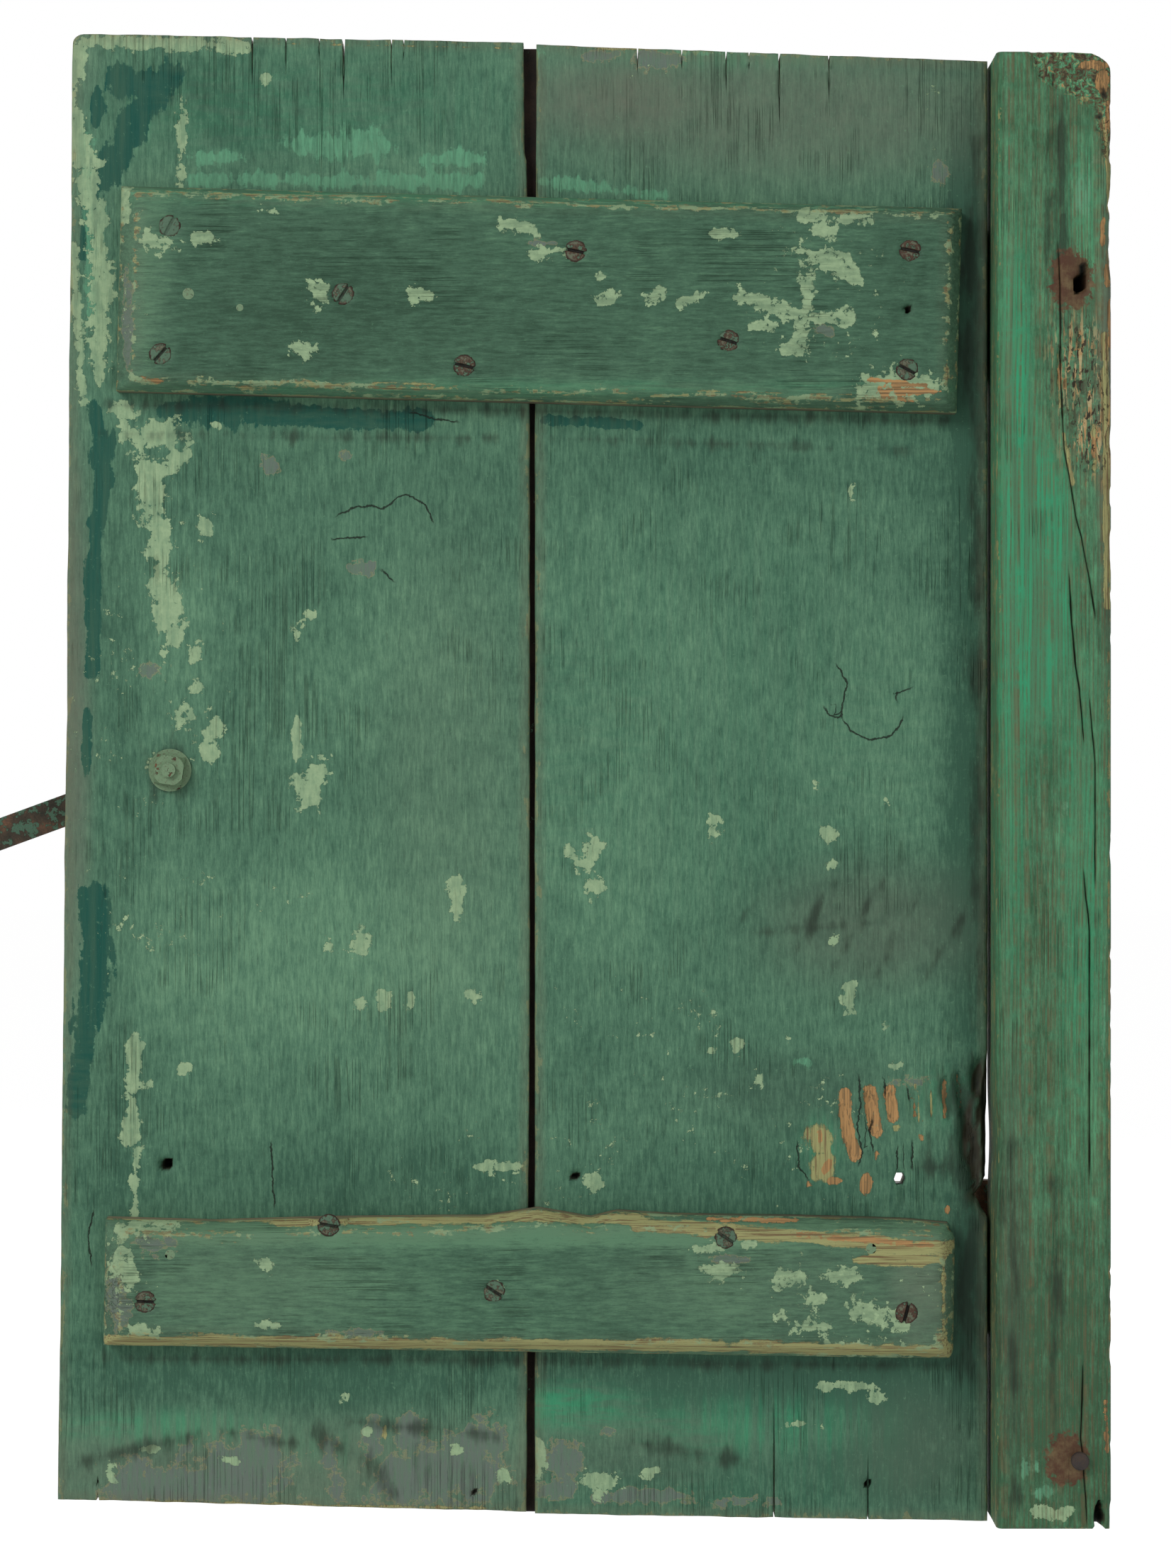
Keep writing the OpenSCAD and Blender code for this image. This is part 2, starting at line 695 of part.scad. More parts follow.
// The bar, drawn along -X from the bolt's axis and then let fall
module latch_bar() {
    color(rust) translate([bolt_x, 0, bolt_z]) rotate([0, -bar_fall, 0]) difference() {
        union() {
            translate([-bar_l + bar_w / 2, side_fit, -bar_w / 2]) cube([bar_l - bar_w / 2, bar_t, bar_w]);
            from_back(-bar_l + bar_w / 2, bar_back, 0) cylinder(h = bar_t, r = bar_w / 2);
            from_back(0, bar_back, 0) cylinder(h = bar_t, r = bar_w / 2);
        }
        from_back(0, bar_back + past, 0) cylinder(h = bar_t + 2 * past, r = latch_bolt_d / 2 + bar_fit);
    }
}

module latch_bolt() {
    half = latch_nut_w / 2;
    color(rust) translate([bolt_x, 0, bolt_z]) {
        from_front(0, latch_bolt_tip, 0)
            cylinder(h = latch_head_back - latch_bolt_tip - 1, r = latch_bolt_d / 2);
        intersection() {
            translate([-half, latch_head_back - latch_head_t, -half])
                cube([latch_nut_w, latch_head_t, latch_nut_w]);
            from_front(0, latch_head_back - latch_head_t, 0)
                cylinder(h = latch_head_t, r1 = half * 1.6, r2 = half * 1.15);
        }
    }
}

module latch_washer() {
    color(screw_paint) from_front(bolt_x, washer_front, bolt_z) difference() {
        cylinder(h = latch_washer_t, r = latch_washer_d / 2);
        translate([0, 0, -past]) cylinder(h = latch_washer_t + 2 * past, r = latch_bolt_d / 2 + wood_fit);
    }
}

module latch_nut() {
    half = latch_nut_w / 2;
    color(screw_paint) from_front(bolt_x, nut_front, bolt_z) difference() {
        intersection() {
            rotate([0, 0, 8]) translate([-half, -half, 0]) cube([latch_nut_w, latch_nut_w, latch_nut_t]);
            cylinder(h = latch_nut_t, r1 = half * 1.1, r2 = half * 1.5);
        }
        translate([0, 0, -past]) cylinder(h = latch_nut_t + 2 * past, r = latch_bolt_d / 2 + wood_fit);
    }
}

hanging_post();
left_board();
right_board();
upper_ledge();
lower_ledge();
upper_ledge_screws();
lower_ledge_screws();
ledge_nails();
upper_strap();
lower_strap();
upper_post_plate();
lower_post_plate();
upper_hinge_pin();
lower_hinge_pin();
strap_screws();
post_plate_screws();
latch_bar();
latch_bolt();
latch_washer();
latch_nut();
post_spike();
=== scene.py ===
"""Looks of a weathered ledged hatch door on its hanging post.

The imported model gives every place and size. Each timber node is replaced by a dense carved mesh
of the same timber, with its splits, chips, gouges and worn arrises. The ironwork is kept or
replaced in the same way, and every piece gets a procedural finish. Lengths are in metres.
"""

import logging
import math
from dataclasses import dataclass, field
from enum import Enum
from functools import cache, cached_property
from typing import Callable, Optional, Sequence

import bpy
import numpy as np
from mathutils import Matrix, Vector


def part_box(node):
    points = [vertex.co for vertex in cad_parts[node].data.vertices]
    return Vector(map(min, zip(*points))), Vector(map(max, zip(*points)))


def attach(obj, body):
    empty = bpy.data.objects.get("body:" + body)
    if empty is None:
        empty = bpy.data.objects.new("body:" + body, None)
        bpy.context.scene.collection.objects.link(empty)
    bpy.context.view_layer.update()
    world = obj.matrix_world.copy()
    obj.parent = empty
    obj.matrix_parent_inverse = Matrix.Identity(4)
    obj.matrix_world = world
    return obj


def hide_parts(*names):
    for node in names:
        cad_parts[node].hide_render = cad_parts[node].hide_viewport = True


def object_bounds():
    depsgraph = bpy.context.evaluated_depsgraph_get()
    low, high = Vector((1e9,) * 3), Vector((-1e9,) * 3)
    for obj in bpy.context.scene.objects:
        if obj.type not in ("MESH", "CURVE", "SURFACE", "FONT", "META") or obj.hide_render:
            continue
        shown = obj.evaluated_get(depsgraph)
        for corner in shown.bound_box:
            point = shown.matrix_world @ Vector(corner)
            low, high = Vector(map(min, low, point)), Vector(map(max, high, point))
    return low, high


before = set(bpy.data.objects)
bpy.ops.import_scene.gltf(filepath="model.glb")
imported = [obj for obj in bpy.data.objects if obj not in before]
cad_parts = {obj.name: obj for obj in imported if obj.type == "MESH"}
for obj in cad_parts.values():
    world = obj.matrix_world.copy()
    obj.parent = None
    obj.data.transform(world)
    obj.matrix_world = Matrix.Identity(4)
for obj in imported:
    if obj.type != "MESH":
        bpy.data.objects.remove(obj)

CAD_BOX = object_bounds()
MM = 0.001
LOG = logging.getLogger("hatch_door")

Array = np.ndarray
Socket = bpy.types.NodeSocket
Value = Socket | float | tuple[float, ...]
Colour = tuple[float, float, float]


def shade(text: str) -> Colour:
    """Turns a paint shade written as six hex digits into linear red, green and blue.

    Args:
        text: The shade, such as "53775e".

    Returns:
        The three linear channels.
    """
    channels = [int(text[i:i + 2], 16) / 255 for i in (0, 2, 4)]
    linear = [c / 12.92 if c <= 0.04045 else ((c + 0.055) / 1.055) ** 2.4 for c in channels]
    return (linear[0], linear[1], linear[2])


# --- Smooth seeded relief, shared by every timber ---


def lattice(ix: Array, iz: Array, seed: int) -> Array:
    """Gives each lattice corner a fixed value from its whole-number place.

    Args:
        ix: Corner numbers across.
        iz: Corner numbers along.
        seed: Which relief this is.

    Returns:
        Values from -1 to 1.
    """
    mask = 0xFFFFFFFF
    h = (ix.astype(np.int64) * 374761393 + iz.astype(np.int64) * 668265263 + seed * 1442695041) & mask
    h = ((h ^ (h >> 13)) * 1274126177) & mask
    return ((h ^ (h >> 16)) & 0xFFFF) / 32767.5 - 1.0


def relief(x: Array, z: Array, cell_x: float, cell_z: float, seed: int, octaves: int = 1) -> Array:
    """Adds up smooth noise over a plane.

    Args:
        x: Places across the grain.
        z: Places along the grain.
        cell_x: Size of the coarsest bumps across.
        cell_z: Size of the coarsest bumps along.
        seed: Which relief this is.
        octaves: How many ever finer layers are added.

    Returns:
        Heights, about -1 to 1.
    """
    total = np.zeros(np.broadcast(x, z).shape)
    weight, norm = 1.0, 0.0
    for octave in range(octaves):
        gx, gz = x / cell_x * 2 ** octave, z / cell_z * 2 ** octave
        ix, iz = np.floor(gx), np.floor(gz)
        tx, tz = gx - ix, gz - iz
        tx, tz = tx * tx * (3 - 2 * tx), tz * tz * (3 - 2 * tz)
        layer = seed + 17 * octave
        low = lattice(ix, iz, layer) * (1 - tx) + lattice(ix + 1, iz, layer) * tx
        high = lattice(ix, iz + 1, layer) * (1 - tx) + lattice(ix + 1, iz + 1, layer) * tx
        total = total + weight * (low * (1 - tz) + high * tz)
        norm += weight
        weight *= 0.55
    return total / norm


def ease(value: Array, start: float, end: float) -> Array:
    """Rises smoothly from 0 at start to 1 at end."""
    t = np.clip((value - start) / (end - start), 0.0, 1.0)
    return t * t * (3 - 2 * t)


def slope(degrees: float) -> float:
    """Gives the rise of a line per unit of run."""
    return math.tan(math.radians(degrees))


def rounding(distance: Array, radius: Array) -> Array:
    """Gives how far a round arris falls below its face at a distance from the edge."""
    run = np.clip(radius - distance, 0.0, None)
    return radius - np.sqrt(np.clip(radius ** 2 - run ** 2, 0.0, None))


# --- Marks: what wear, weather and tools have done to a face ---


@dataclass(frozen=True)
class Blot:
    """A leaning oval patch, placed in millimetres from a piece's own reference corner."""

    x: float
    drop: float
    half_w: float
    half_h: float
    lean: float = 0.0

    def distance(self, x: Array, drop: Array) -> Array:
        """Measures how far points lie outside the oval.

        Args:
            x: Places across, in millimetres.
            drop: Places down, in millimetres.

        Returns:
            About the distance in millimetres, negative inside.
        """
        turn = math.radians(self.lean)
        dx, dz = x - self.x, drop - self.drop
        a = dx * math.cos(turn) + dz * math.sin(turn)
        b = dz * math.cos(turn) - dx * math.sin(turn)
        reach = np.sqrt((a / self.half_w) ** 2 + (b / self.half_h) ** 2)
        slope = np.sqrt((a / self.half_w ** 2) ** 2 + (b / self.half_h ** 2) ** 2)
        return reach * (reach - 1) / np.maximum(slope, 1e-6)


@dataclass(frozen=True)
class Streak:
    """A patch that follows a path, in millimetres from a piece's own reference corner."""

    path: tuple[tuple[float, float], ...]
    half_w: float

    def distance(self, x: Array, drop: Array) -> Array:
        """Measures how far points lie outside the streak.

        Args:
            x: Places across, in millimetres.
            drop: Places down, in millimetres.

        Returns:
            The distance in millimetres, negative inside.
        """
        best = np.full(np.broadcast(x, drop).shape, 1e6)
        for (ax, az), (bx, bz) in zip(self.path, self.path[1:]):
            run_x, run_z = bx - ax, bz - az
            share = np.clip(((x - ax) * run_x + (drop - az) * run_z) / (run_x ** 2 + run_z ** 2), 0, 1)
            best = np.minimum(best, np.hypot(x - ax - share * run_x, drop - az - share * run_z))
        return best - self.half_w


Mark = Blot | Streak


def blots(*rows: tuple[float, ...]) -> list[Mark]:
    """Makes oval patches from rows of x, drop, half width, half height and lean."""
    return [Blot(*row) for row in rows]


def streaks(*rows: tuple) -> list[Mark]:
    """Makes streaks from rows of a half width and then the points of the path."""
    return [Streak(row[1:], row[0]) for row in rows]


def nearest_mark(marks: Sequence[Mark], x: Array, drop: Array) -> Array:
    """Measures the distance to the nearest of several marks.

    Args:
        marks: The marks.
        x: Places across, in millimetres.
        drop: Places down, in millimetres.

    Returns:
        Distance in metres, negative inside, and 0.1 where there are no marks near. Small marks
        count their distance finer, so that their outlines break up in step with their size.
    """
    best = np.full(np.broadcast(x, drop).shape, 100.0)
    for mark in marks:
        size = mark.half_w if isinstance(mark, Streak) else min(mark.half_w, mark.half_h)
        best = np.minimum(best, mark.distance(x, drop) * min(2.2, max(0.7, 7.0 / max(size, 0.1))))
    return best * MM


@dataclass(frozen=True)
class Tone:
    """A soft change of the ground coat round a place, in millimetres; rows noted where they are listed are
    painted light and shade.
    """

    x: float
    drop: float
    half_w: float
    half_h: float
    light: float = 0.0
    emerald: float = 0.0
    dull: float = 0.0

    @classmethod
    def rows(cls, *rows: tuple[float, ...]) -> list["Tone"]:
        """Makes one tone from each row of numbers."""
        return [cls(*row) for row in rows]

    def spread(self, x: Array, drop: Array) -> Array:
        """Gives the three changes at each point, fading outwards.

        Args:
            x: Places across, in millimetres.
            drop: Places down, in millimetres.

        Returns:
            Light, emerald and dull amounts.
        """
        reach = ((x - self.x) / self.half_w) ** 2 + ((drop - self.drop) / self.half_h) ** 2
        fade = np.exp(-reach ** 1.5 * 0.7)
        return fade[..., None] * np.array([self.light, self.emerald, self.dull])


@dataclass(frozen=True)
class Fissure:
    """A fine crack that wanders over a face, in millimetres from the reference corner."""

    path: tuple[tuple[float, float], ...]

    def trace(self, x: Array, drop: Array) -> tuple[Array, Array]:
        """Measures the signed distance to the crack, and where along it a point lies.

        Args:
            x: Places across, in millimetres.
            drop: Places down, in millimetres.

        Returns:
            Signed distance, and 1 along the crack falling to 0 past its ends.
        """
        best = np.full(np.broadcast(x, drop).shape, 1e6)
        gate = np.zeros_like(best)
        last = len(self.path) - 2
        for k, ((ax, az), (bx, bz)) in enumerate(zip(self.path, self.path[1:])):
            run_x, run_z = bx - ax, bz - az
            length = math.hypot(run_x, run_z)
            along = ((x - ax) * run_x + (drop - az) * run_z) / length
            side = ((x - ax) * run_z - (drop - az) * run_x) / length
            held = np.clip(along, 0, length)
            far = np.hypot(x - ax - held * run_x / length, drop - az - held * run_z / length)
            signed = np.where(side < 0, -far, far)
            nearer = far < np.abs(best)
            over = np.maximum(-along if k == 0 else -9.0, along - length if k == last else -9.0)
            gate = np.where(nearer, 1 - ease(over + far * 0, -2.0, 0.5), gate)
            best = np.where(nearer, signed, best)
        return best, gate * (1 - ease(np.abs(best), 3.0, 5.0))


def cracks(*paths: tuple[tuple[float, float], ...]) -> list[Fissure]:
    """Makes fine cracks from their paths."""
    return [Fissure(path) for path in paths]


@dataclass(frozen=True)
class Split:
    """A split that opens at a board's end and runs along the grain, in millimetres."""

    x: float
    length: float
    width: float


@dataclass(frozen=True)
class Pit:
    """A hole or gouge cut into a face, in millimetres from the piece's reference corner."""

    x: float
    drop: float
    half_w: float
    half_h: float
    depth: float
    lean: float = 0.0
    wall: float = 1.2

    @classmethod
    def rows(cls, *rows: tuple[float, ...]) -> list["Pit"]:
        """Makes one pit from each row of numbers."""
        return [cls(*row) for row in rows]

    def cut(self, x: Array, drop: Array) -> Array:
        """Gives the depth of the cut in metres at places given in millimetres."""
        gap = Blot(self.x, self.drop, self.half_w, self.half_h, self.lean).distance(x, drop)
        return self.depth * MM * (1 - ease(gap, -self.wall, self.wall * 0.4))


class PaintLayer(Enum):
    """The layers that show in patches, with the attribute and channel each is stored in."""

    SAGE = ("patch_a", 0)
    MINT = ("patch_a", 1)
    TEAL = ("patch_a", 2)
    LILAC = ("patch_b", 0)
    TAN = ("patch_b", 1)
    ORANGE = ("patch_b", 2)


@dataclass
class Weathering:
    """All the marks on one timber's face."""

    patches: dict[PaintLayer, list[Mark]] = field(default_factory=dict)
    # grime_and_shade: real dirt, and painted shadows under the ledges, beside the post and round the latch
    # washer.
    grime_and_shade: list[Mark] = field(default_factory=list)
    speckle: list[Mark] = field(default_factory=list)
    rust: list[Mark] = field(default_factory=list)
    pits: list[Pit] = field(default_factory=list)
    tones: list[Tone] = field(default_factory=list)
    fissures: list[Fissure] = field(default_factory=list)


# --- Carved timber meshes ---


@dataclass
class CarvedFace:
    """Two facing grids, front and back, with what the finish needs at each point."""

    front: Array
    back: Array
    layers: dict[str, Array]
    opened: Array | None = None

    def border(self) -> list[tuple[int, int]]:
        """Lists the grid's rim, counterclockwise as seen from the front.

        Returns:
            Row and column of each point.
        """
        rows, cols = self.front.shape[:2]
        rim = [(0, j) for j in range(cols - 1)]
        rim += [(i, cols - 1) for i in range(rows - 1)]
        rim += [(rows - 1, j) for j in range(cols - 1, 0, -1)]
        rim += [(i, 0) for i in range(rows - 1, 0, -1)]
        return rim

    def build(self, name: str, ring_step: float, side_relief: float) -> bpy.types.Object:
        """Joins both grids by a wall of rings into one closed mesh.

        Args:
            name: Name of the new piece.
            ring_step: Distance between the rings of the wall.
            side_relief: Height of the roughness of the wall.

        Returns:
            The new object, linked to the scene.
        """
        rows, cols = self.front.shape[:2]
        rim = self.border()
        pick = (np.array([i for i, _ in rim]), np.array([j for _, j in rim]))
        front_rim, back_rim = self.front[pick], self.back[pick]
        depth = float(np.abs(back_rim[:, 1] - front_rim[:, 1]).max())
        rings = max(2, int(round(depth / ring_step)))
        outward = np.zeros((len(rim), 3))
        outward[:, 0] = np.where(pick[1] == 0, -1.0, np.where(pick[1] == cols - 1, 1.0, 0.0))
        outward[:, 2] = np.where(pick[0] == 0, -1.0, np.where(pick[0] == rows - 1, 1.0, 0.0))
        along = np.cumsum(np.r_[0.0, np.linalg.norm(np.diff(front_rim, axis=0), axis=1)])
        walls = []
        for k in range(1, rings):
            t = k / rings
            bump = relief(along, np.full_like(along, t * depth), 0.05, 0.004, 7, 3)
            ring = front_rim * (1 - t) + back_rim * t
            swell = side_relief * (0.6 + 0.4 * bump) * math.sin(math.pi * t)
            walls.append(ring - outward * swell[:, None])
        points = [self.front.reshape(-1, 3), self.back.reshape(-1, 3)] + walls
        count = rows * cols
        faces = [self._grid_quads(rows, cols, 0, False), self._grid_quads(rows, cols, count, True)]
        if self.opened is not None and self.opened.any():
            kept = ~self.opened.ravel()
            faces = [part[kept] for part in faces] + [self._hole_walls(self.opened, cols, count)]
        rim_front = pick[0] * cols + pick[1]
        chain = [rim_front] + [2 * count + k * len(rim) + np.arange(len(rim)) for k in range(rings - 1)]
        chain.append(rim_front + count)
        for near, far in zip(chain, chain[1:]):
            faces.append(np.stack([np.roll(near, -1), near, far, np.roll(far, -1)], axis=1))
        piece = new_mesh(name, np.concatenate(points), np.concatenate(faces))
        end_grain = np.abs(outward[:, 2])
        for key, values in self.layers.items():
            flat = values.reshape(count, -1)
            parts = [flat, flat] + [flat[rim_front]] * (rings - 1)
            store_layer(piece, key, np.concatenate(parts))
        side = np.concatenate([np.zeros(count), np.ones(count)] + [np.full(len(rim), 0.5)] * (rings - 1))
        ends = np.concatenate([np.zeros(2 * count)] + [end_grain] * (rings - 1))
        store_layer(piece, "side", side[:, None])
        store_layer(piece, "end_grain", ends[:, None])
        return piece

    @staticmethod
    def _hole_walls(opened: Array, cols: int, count: int) -> Array:
        """Lines the holes that go right through.

        Args:
            opened: True for each grid cell that is left out.
            cols: Points across the grain.
            count: Points in one grid.

        Returns:
            Four point numbers a face.
        """
        ringed = np.pad(opened, 1)
        walls = []
        for i, j in np.argwhere(opened):
            corners = [(i, j), (i, j + 1), (i + 1, j + 1), (i + 1, j)]
            beside = [(i, j + 1), (i + 1, j + 2), (i + 2, j + 1), (i + 1, j)]
            for k, place in enumerate(beside):
                if not ringed[place]:
                    near, far = (row * cols + col for row, col in (corners[k], corners[(k + 1) % 4]))
                    walls.append((near, far, far + count, near + count))
        return np.array(walls)

    @staticmethod
    def _grid_quads(rows: int, cols: int, start: int, flip: bool) -> Array:
        """Lists a grid's faces.

        Args:
            rows: Points along the grain.
            cols: Points across the grain.
            start: Number of the grid's first point.
            flip: Whether the faces look backwards.

        Returns:
            Four point numbers a face.
        """
        base = (np.arange(rows - 1)[:, None] * cols + np.arange(cols - 1)[None, :]).ravel() + start
        quads = np.stack([base, base + 1, base + cols + 1, base + cols], axis=1)
        return quads[:, ::-1] if flip else quads


def new_mesh(name: str, points: Array, quads: Array) -> bpy.types.Object:
    """Makes a smooth-shaded mesh object from points and four-sided faces.

    Args:
        name: Name of the piece.
        points: Corner places.
        quads: Four corner numbers a face.

    Returns:
        The new object, linked to the scene.
    """
    mesh = bpy.data.meshes.new(name)
    mesh.vertices.add(len(points))
    mesh.vertices.foreach_set("co", points.astype(np.float32).ravel())
    mesh.loops.add(quads.size)
    mesh.loops.foreach_set("vertex_index", quads.astype(np.int32).ravel())
    mesh.polygons.add(len(quads))
    mesh.polygons.foreach_set("loop_start", np.arange(0, quads.size, 4, dtype=np.int32))
    mesh.update(calc_edges=True)
    mesh.validate()
    mesh.polygons.foreach_set("use_smooth", np.ones(len(quads), dtype=bool))
    piece = bpy.data.objects.new(name, mesh)
    bpy.context.scene.collection.objects.link(piece)
    return piece


def store_layer(piece: bpy.types.Object, key: str, values: Array) -> None:
    """Stores one or three numbers a point for the finish to read.

    Args:
        piece: The mesh object.
        key: Name of the attribute.
        values: One row a point, with one or three columns.
    """
    kind = "FLOAT" if values.shape[1] == 1 else "FLOAT_VECTOR"
    slot = piece.data.attributes.new(key, kind, "POINT")
    slot.data.foreach_set("value" if kind == "FLOAT" else "vector", values.astype(np.float32).ravel())


def spaced(start: float, end: float, step: float, rim: float, extra: Sequence[float] = ()) -> Array:
    """Places grid lines: close together near both rims and at each extra place.

    Args:
        start: First line.
        end: Last line.
        step: Distance between lines away from the rims.
        rim: Width of the fine stretch at each end.
        extra: Places that get a line of their own.

    Returns:
        The places in rising order.
    """
    fine = rim * np.array([0.0, 0.06, 0.16, 0.3, 0.48, 0.7, 1.0])
    middle = np.linspace(start + rim, end - rim, max(2, int(round((end - start - 2 * rim) / step)) + 1))
    lines = np.unique(np.concatenate([start + fine, middle, end - fine[::-1]]))
    wanted = np.array(sorted(extra))
    if len(wanted):
        clear = np.abs(lines[:, None] - wanted[None, :]).min(axis=1) > 0.45 * step * 0.5
        lines = np.unique(np.concatenate([lines[clear], wanted]))
    return lines


# --- Node wiring shared by the finishes ---


class Wiring:
    """Puts shader nodes into one material or world and links them."""

    def __init__(self, owner: bpy.types.Material | bpy.types.World) -> None:
        """Clears the owner's nodes.

        Args:
            owner: The material or world.
        """
        owner.use_nodes = True
        self.owner = owner
        self.tree = owner.node_tree
        self.tree.nodes.clear()

    @classmethod
    def of_material(cls, name: str) -> "Wiring":
        """Starts an empty material."""
        return cls(bpy.data.materials.new(name))

    @cached_property
    def place(self) -> Socket:
        """Gives the place on the piece, in metres."""
        return self.new("ShaderNodeTexCoord").outputs["Object"]

    def new(self, kind: str, values: Optional[dict[str | int, Value]] = None,
            **options: object) -> bpy.types.Node:
        """Adds a node.

        Args:
            kind: Blender's name of its kind.
            values: What its inputs take, by name or number.
            options: The node's own settings.

        Returns:
            The node.
        """
        node = self.tree.nodes.new(kind)
        for option, choice in options.items():
            setattr(node, option, choice)
        for key, value in (values or {}).items():
            self.feed(node.inputs[key], value)
        return node

    def feed(self, socket: Socket, value: Value) -> None:
        """Links a socket, or sets it where a plain value is given.

        Args:
            socket: The input.
            value: What it takes.
        """
        if isinstance(value, bpy.types.NodeSocket):
            self.tree.links.new(value, socket)
        elif isinstance(value, tuple) and len(value) == 3 and socket.type == "RGBA":
            socket.default_value = (*value, 1.0)
        else:
            socket.default_value = value

    def layer(self, key: str) -> bpy.types.Node:
        """Reads an attribute stored on the mesh."""
        return self.new("ShaderNodeAttribute", attribute_name=key)

    def number(self, key: str) -> Socket:
        """Reads a one-number attribute."""
        return self.layer(key).outputs["Fac"]

    def channels(self, key: str) -> list[Socket]:
        """Reads the three numbers of an attribute."""
        split = self.new("ShaderNodeSeparateXYZ", {0: self.layer(key).outputs["Vector"]})
        return [split.outputs[i] for i in range(3)]

    def plus(self, a: Value, b: Value) -> Socket:
        """Adds two numbers."""
        return self.math("ADD", a, b)

    def times(self, a: Value, b: Value) -> Socket:
        """Multiplies two numbers."""
        return self.math("MULTIPLY", a, b)

    def math(self, what: str, a: Value, b: Value = 0.0, clamp: bool = False) -> Socket:
        """Does the named sum on two numbers, and keeps it between 0 and 1 where asked."""
        return self.new("ShaderNodeMath", {0: a, 1: b}, operation=what, use_clamp=clamp).outputs[0]

    def stretch(self, scale: tuple[float, float, float], turn: float = 0.0) -> Socket:
        """Stretches the place on the piece along X, Y and Z, turned about Y by some degrees."""
        turned = (0.0, math.radians(turn), 0.0)
        return self.new("ShaderNodeMapping", {0: self.place, "Scale": scale, "Rotation": turned}).outputs[0]

    def noise(self, place: Socket, scale: float, detail: float = 4.0, rough: float = 0.55,
              swirl: float = 0.0) -> Socket:
        """Adds a cloud of noise.

        Args:
            place: Where it is read.
            scale: Clouds a metre.
            detail: How many finer layers.
            rough: Strength of the finer layers.
            swirl: Distortion.

        Returns:
            The noise, about 0.25 to 0.75.
        """
        node = self.new("ShaderNodeTexNoise", {
            "Vector": place, "Scale": scale, "Detail": detail, "Roughness": rough, "Distortion": swirl,
        })
        return node.outputs["Fac"]

    def step(self, value: Socket, start: float, end: float) -> Socket:
        """Rises smoothly from 0 at start to 1 at end; start may be the larger.

        Args:
            value: The number to judge.
            start: Where it leaves 0.
            end: Where it reaches 1.

        Returns:
            The share.
        """
        low, high = sorted(((start, 0.0), (end, 1.0)))
        spans = {"From Min": low[0], "From Max": high[0], "To Min": low[1], "To Max": high[1]}
        node = self.new("ShaderNodeMapRange", {"Value": value} | spans, interpolation_type="SMOOTHSTEP")
        return node.outputs[0]

    def mix(self, share: Value, a: Value, b: Value, how: str = "MIX") -> Socket:
        """Mixes two colours by the share of the second."""
        values = {0: share, 6: a, 7: b}
        return self.new("ShaderNodeMix", values, data_type="RGBA", blend_type=how).outputs[2]

    def ramp(self, value: Socket, stops: Sequence[tuple[float, Colour]]) -> Socket:
        """Turns a number into a colour.

        Args:
            value: The number.
            stops: Places and colours along the ramp.

        Returns:
            The colour.
        """
        node = self.new("ShaderNodeValToRGB", {0: value})
        ramp = node.color_ramp
        while len(ramp.elements) < len(stops):
            ramp.elements.new(0.5)
        for element, (place, colour) in zip(ramp.elements, stops):
            element.position = place
            element.color = (*colour, 1.0)
        return node.outputs[0]

    def bump(self, height: Socket, depth: float, strength: float = 1.0,
             under: Optional[Socket] = None) -> Socket:
        """Turns a height into a surface relief.

        Args:
            height: The height, 0 to 1.
            depth: What a height of 1 is in metres.
            strength: How much of it shows.
            under: A coarser relief that it lies on.

        Returns:
            The new surface direction.
        """
        coarse = {} if under is None else {"Normal": under}
        values = {"Distance": depth, "Strength": strength, "Height": height}
        return self.new("ShaderNodeBump", values | coarse).outputs[0]

    def surface(self, colour: Socket, roughness: Value, normal: Socket,
                metal: Value = 0.0, gloss: float = 0.3) -> bpy.types.Material:
        """Closes the material with one shader.

        Args:
            colour: Base colour.
            roughness: Roughness.
            normal: Surface direction.
            metal: Share of bare metal.
            gloss: Specular level.

        Returns:
            The finished material.
        """
        shader = self.new("ShaderNodeBsdfPrincipled", {
            "Base Color": colour, "Roughness": roughness, "Normal": normal, "Metallic": metal,
            "Specular IOR Level": gloss,
        })
        self.close(shader.outputs[0])
        return self.owner

    def close(self, shader: Socket) -> None:
        """Feeds the last shader to the output."""
        kind = "Material" if isinstance(self.owner, bpy.types.Material) else "World"
        self.feed(self.new("ShaderNodeOutput" + kind).inputs["Surface"], shader)

    def close_with_two(self, share: Socket, first: Socket, second: Socket) -> None:
        """Feeds a mix of two shaders to the output, by the share of the second."""
        self.close(self.new("ShaderNodeMixShader", {0: share, 1: first, 2: second}).outputs[0])


class GrainRun(Enum):
    """Which way a timber's grain and brush strokes run."""

    UPRIGHT = "upright"
    LEVEL = "level"


@dataclass(frozen=True)
class CoatNoise:
    """The wiring of one coat of paint, with the noises that its steps share."""

    net: Wiring
    stroke: Socket
    flake: Socket
    front_only: Socket
    cloud: Socket
    drawn: Socket
    fibre: Socket
    brushy: Socket


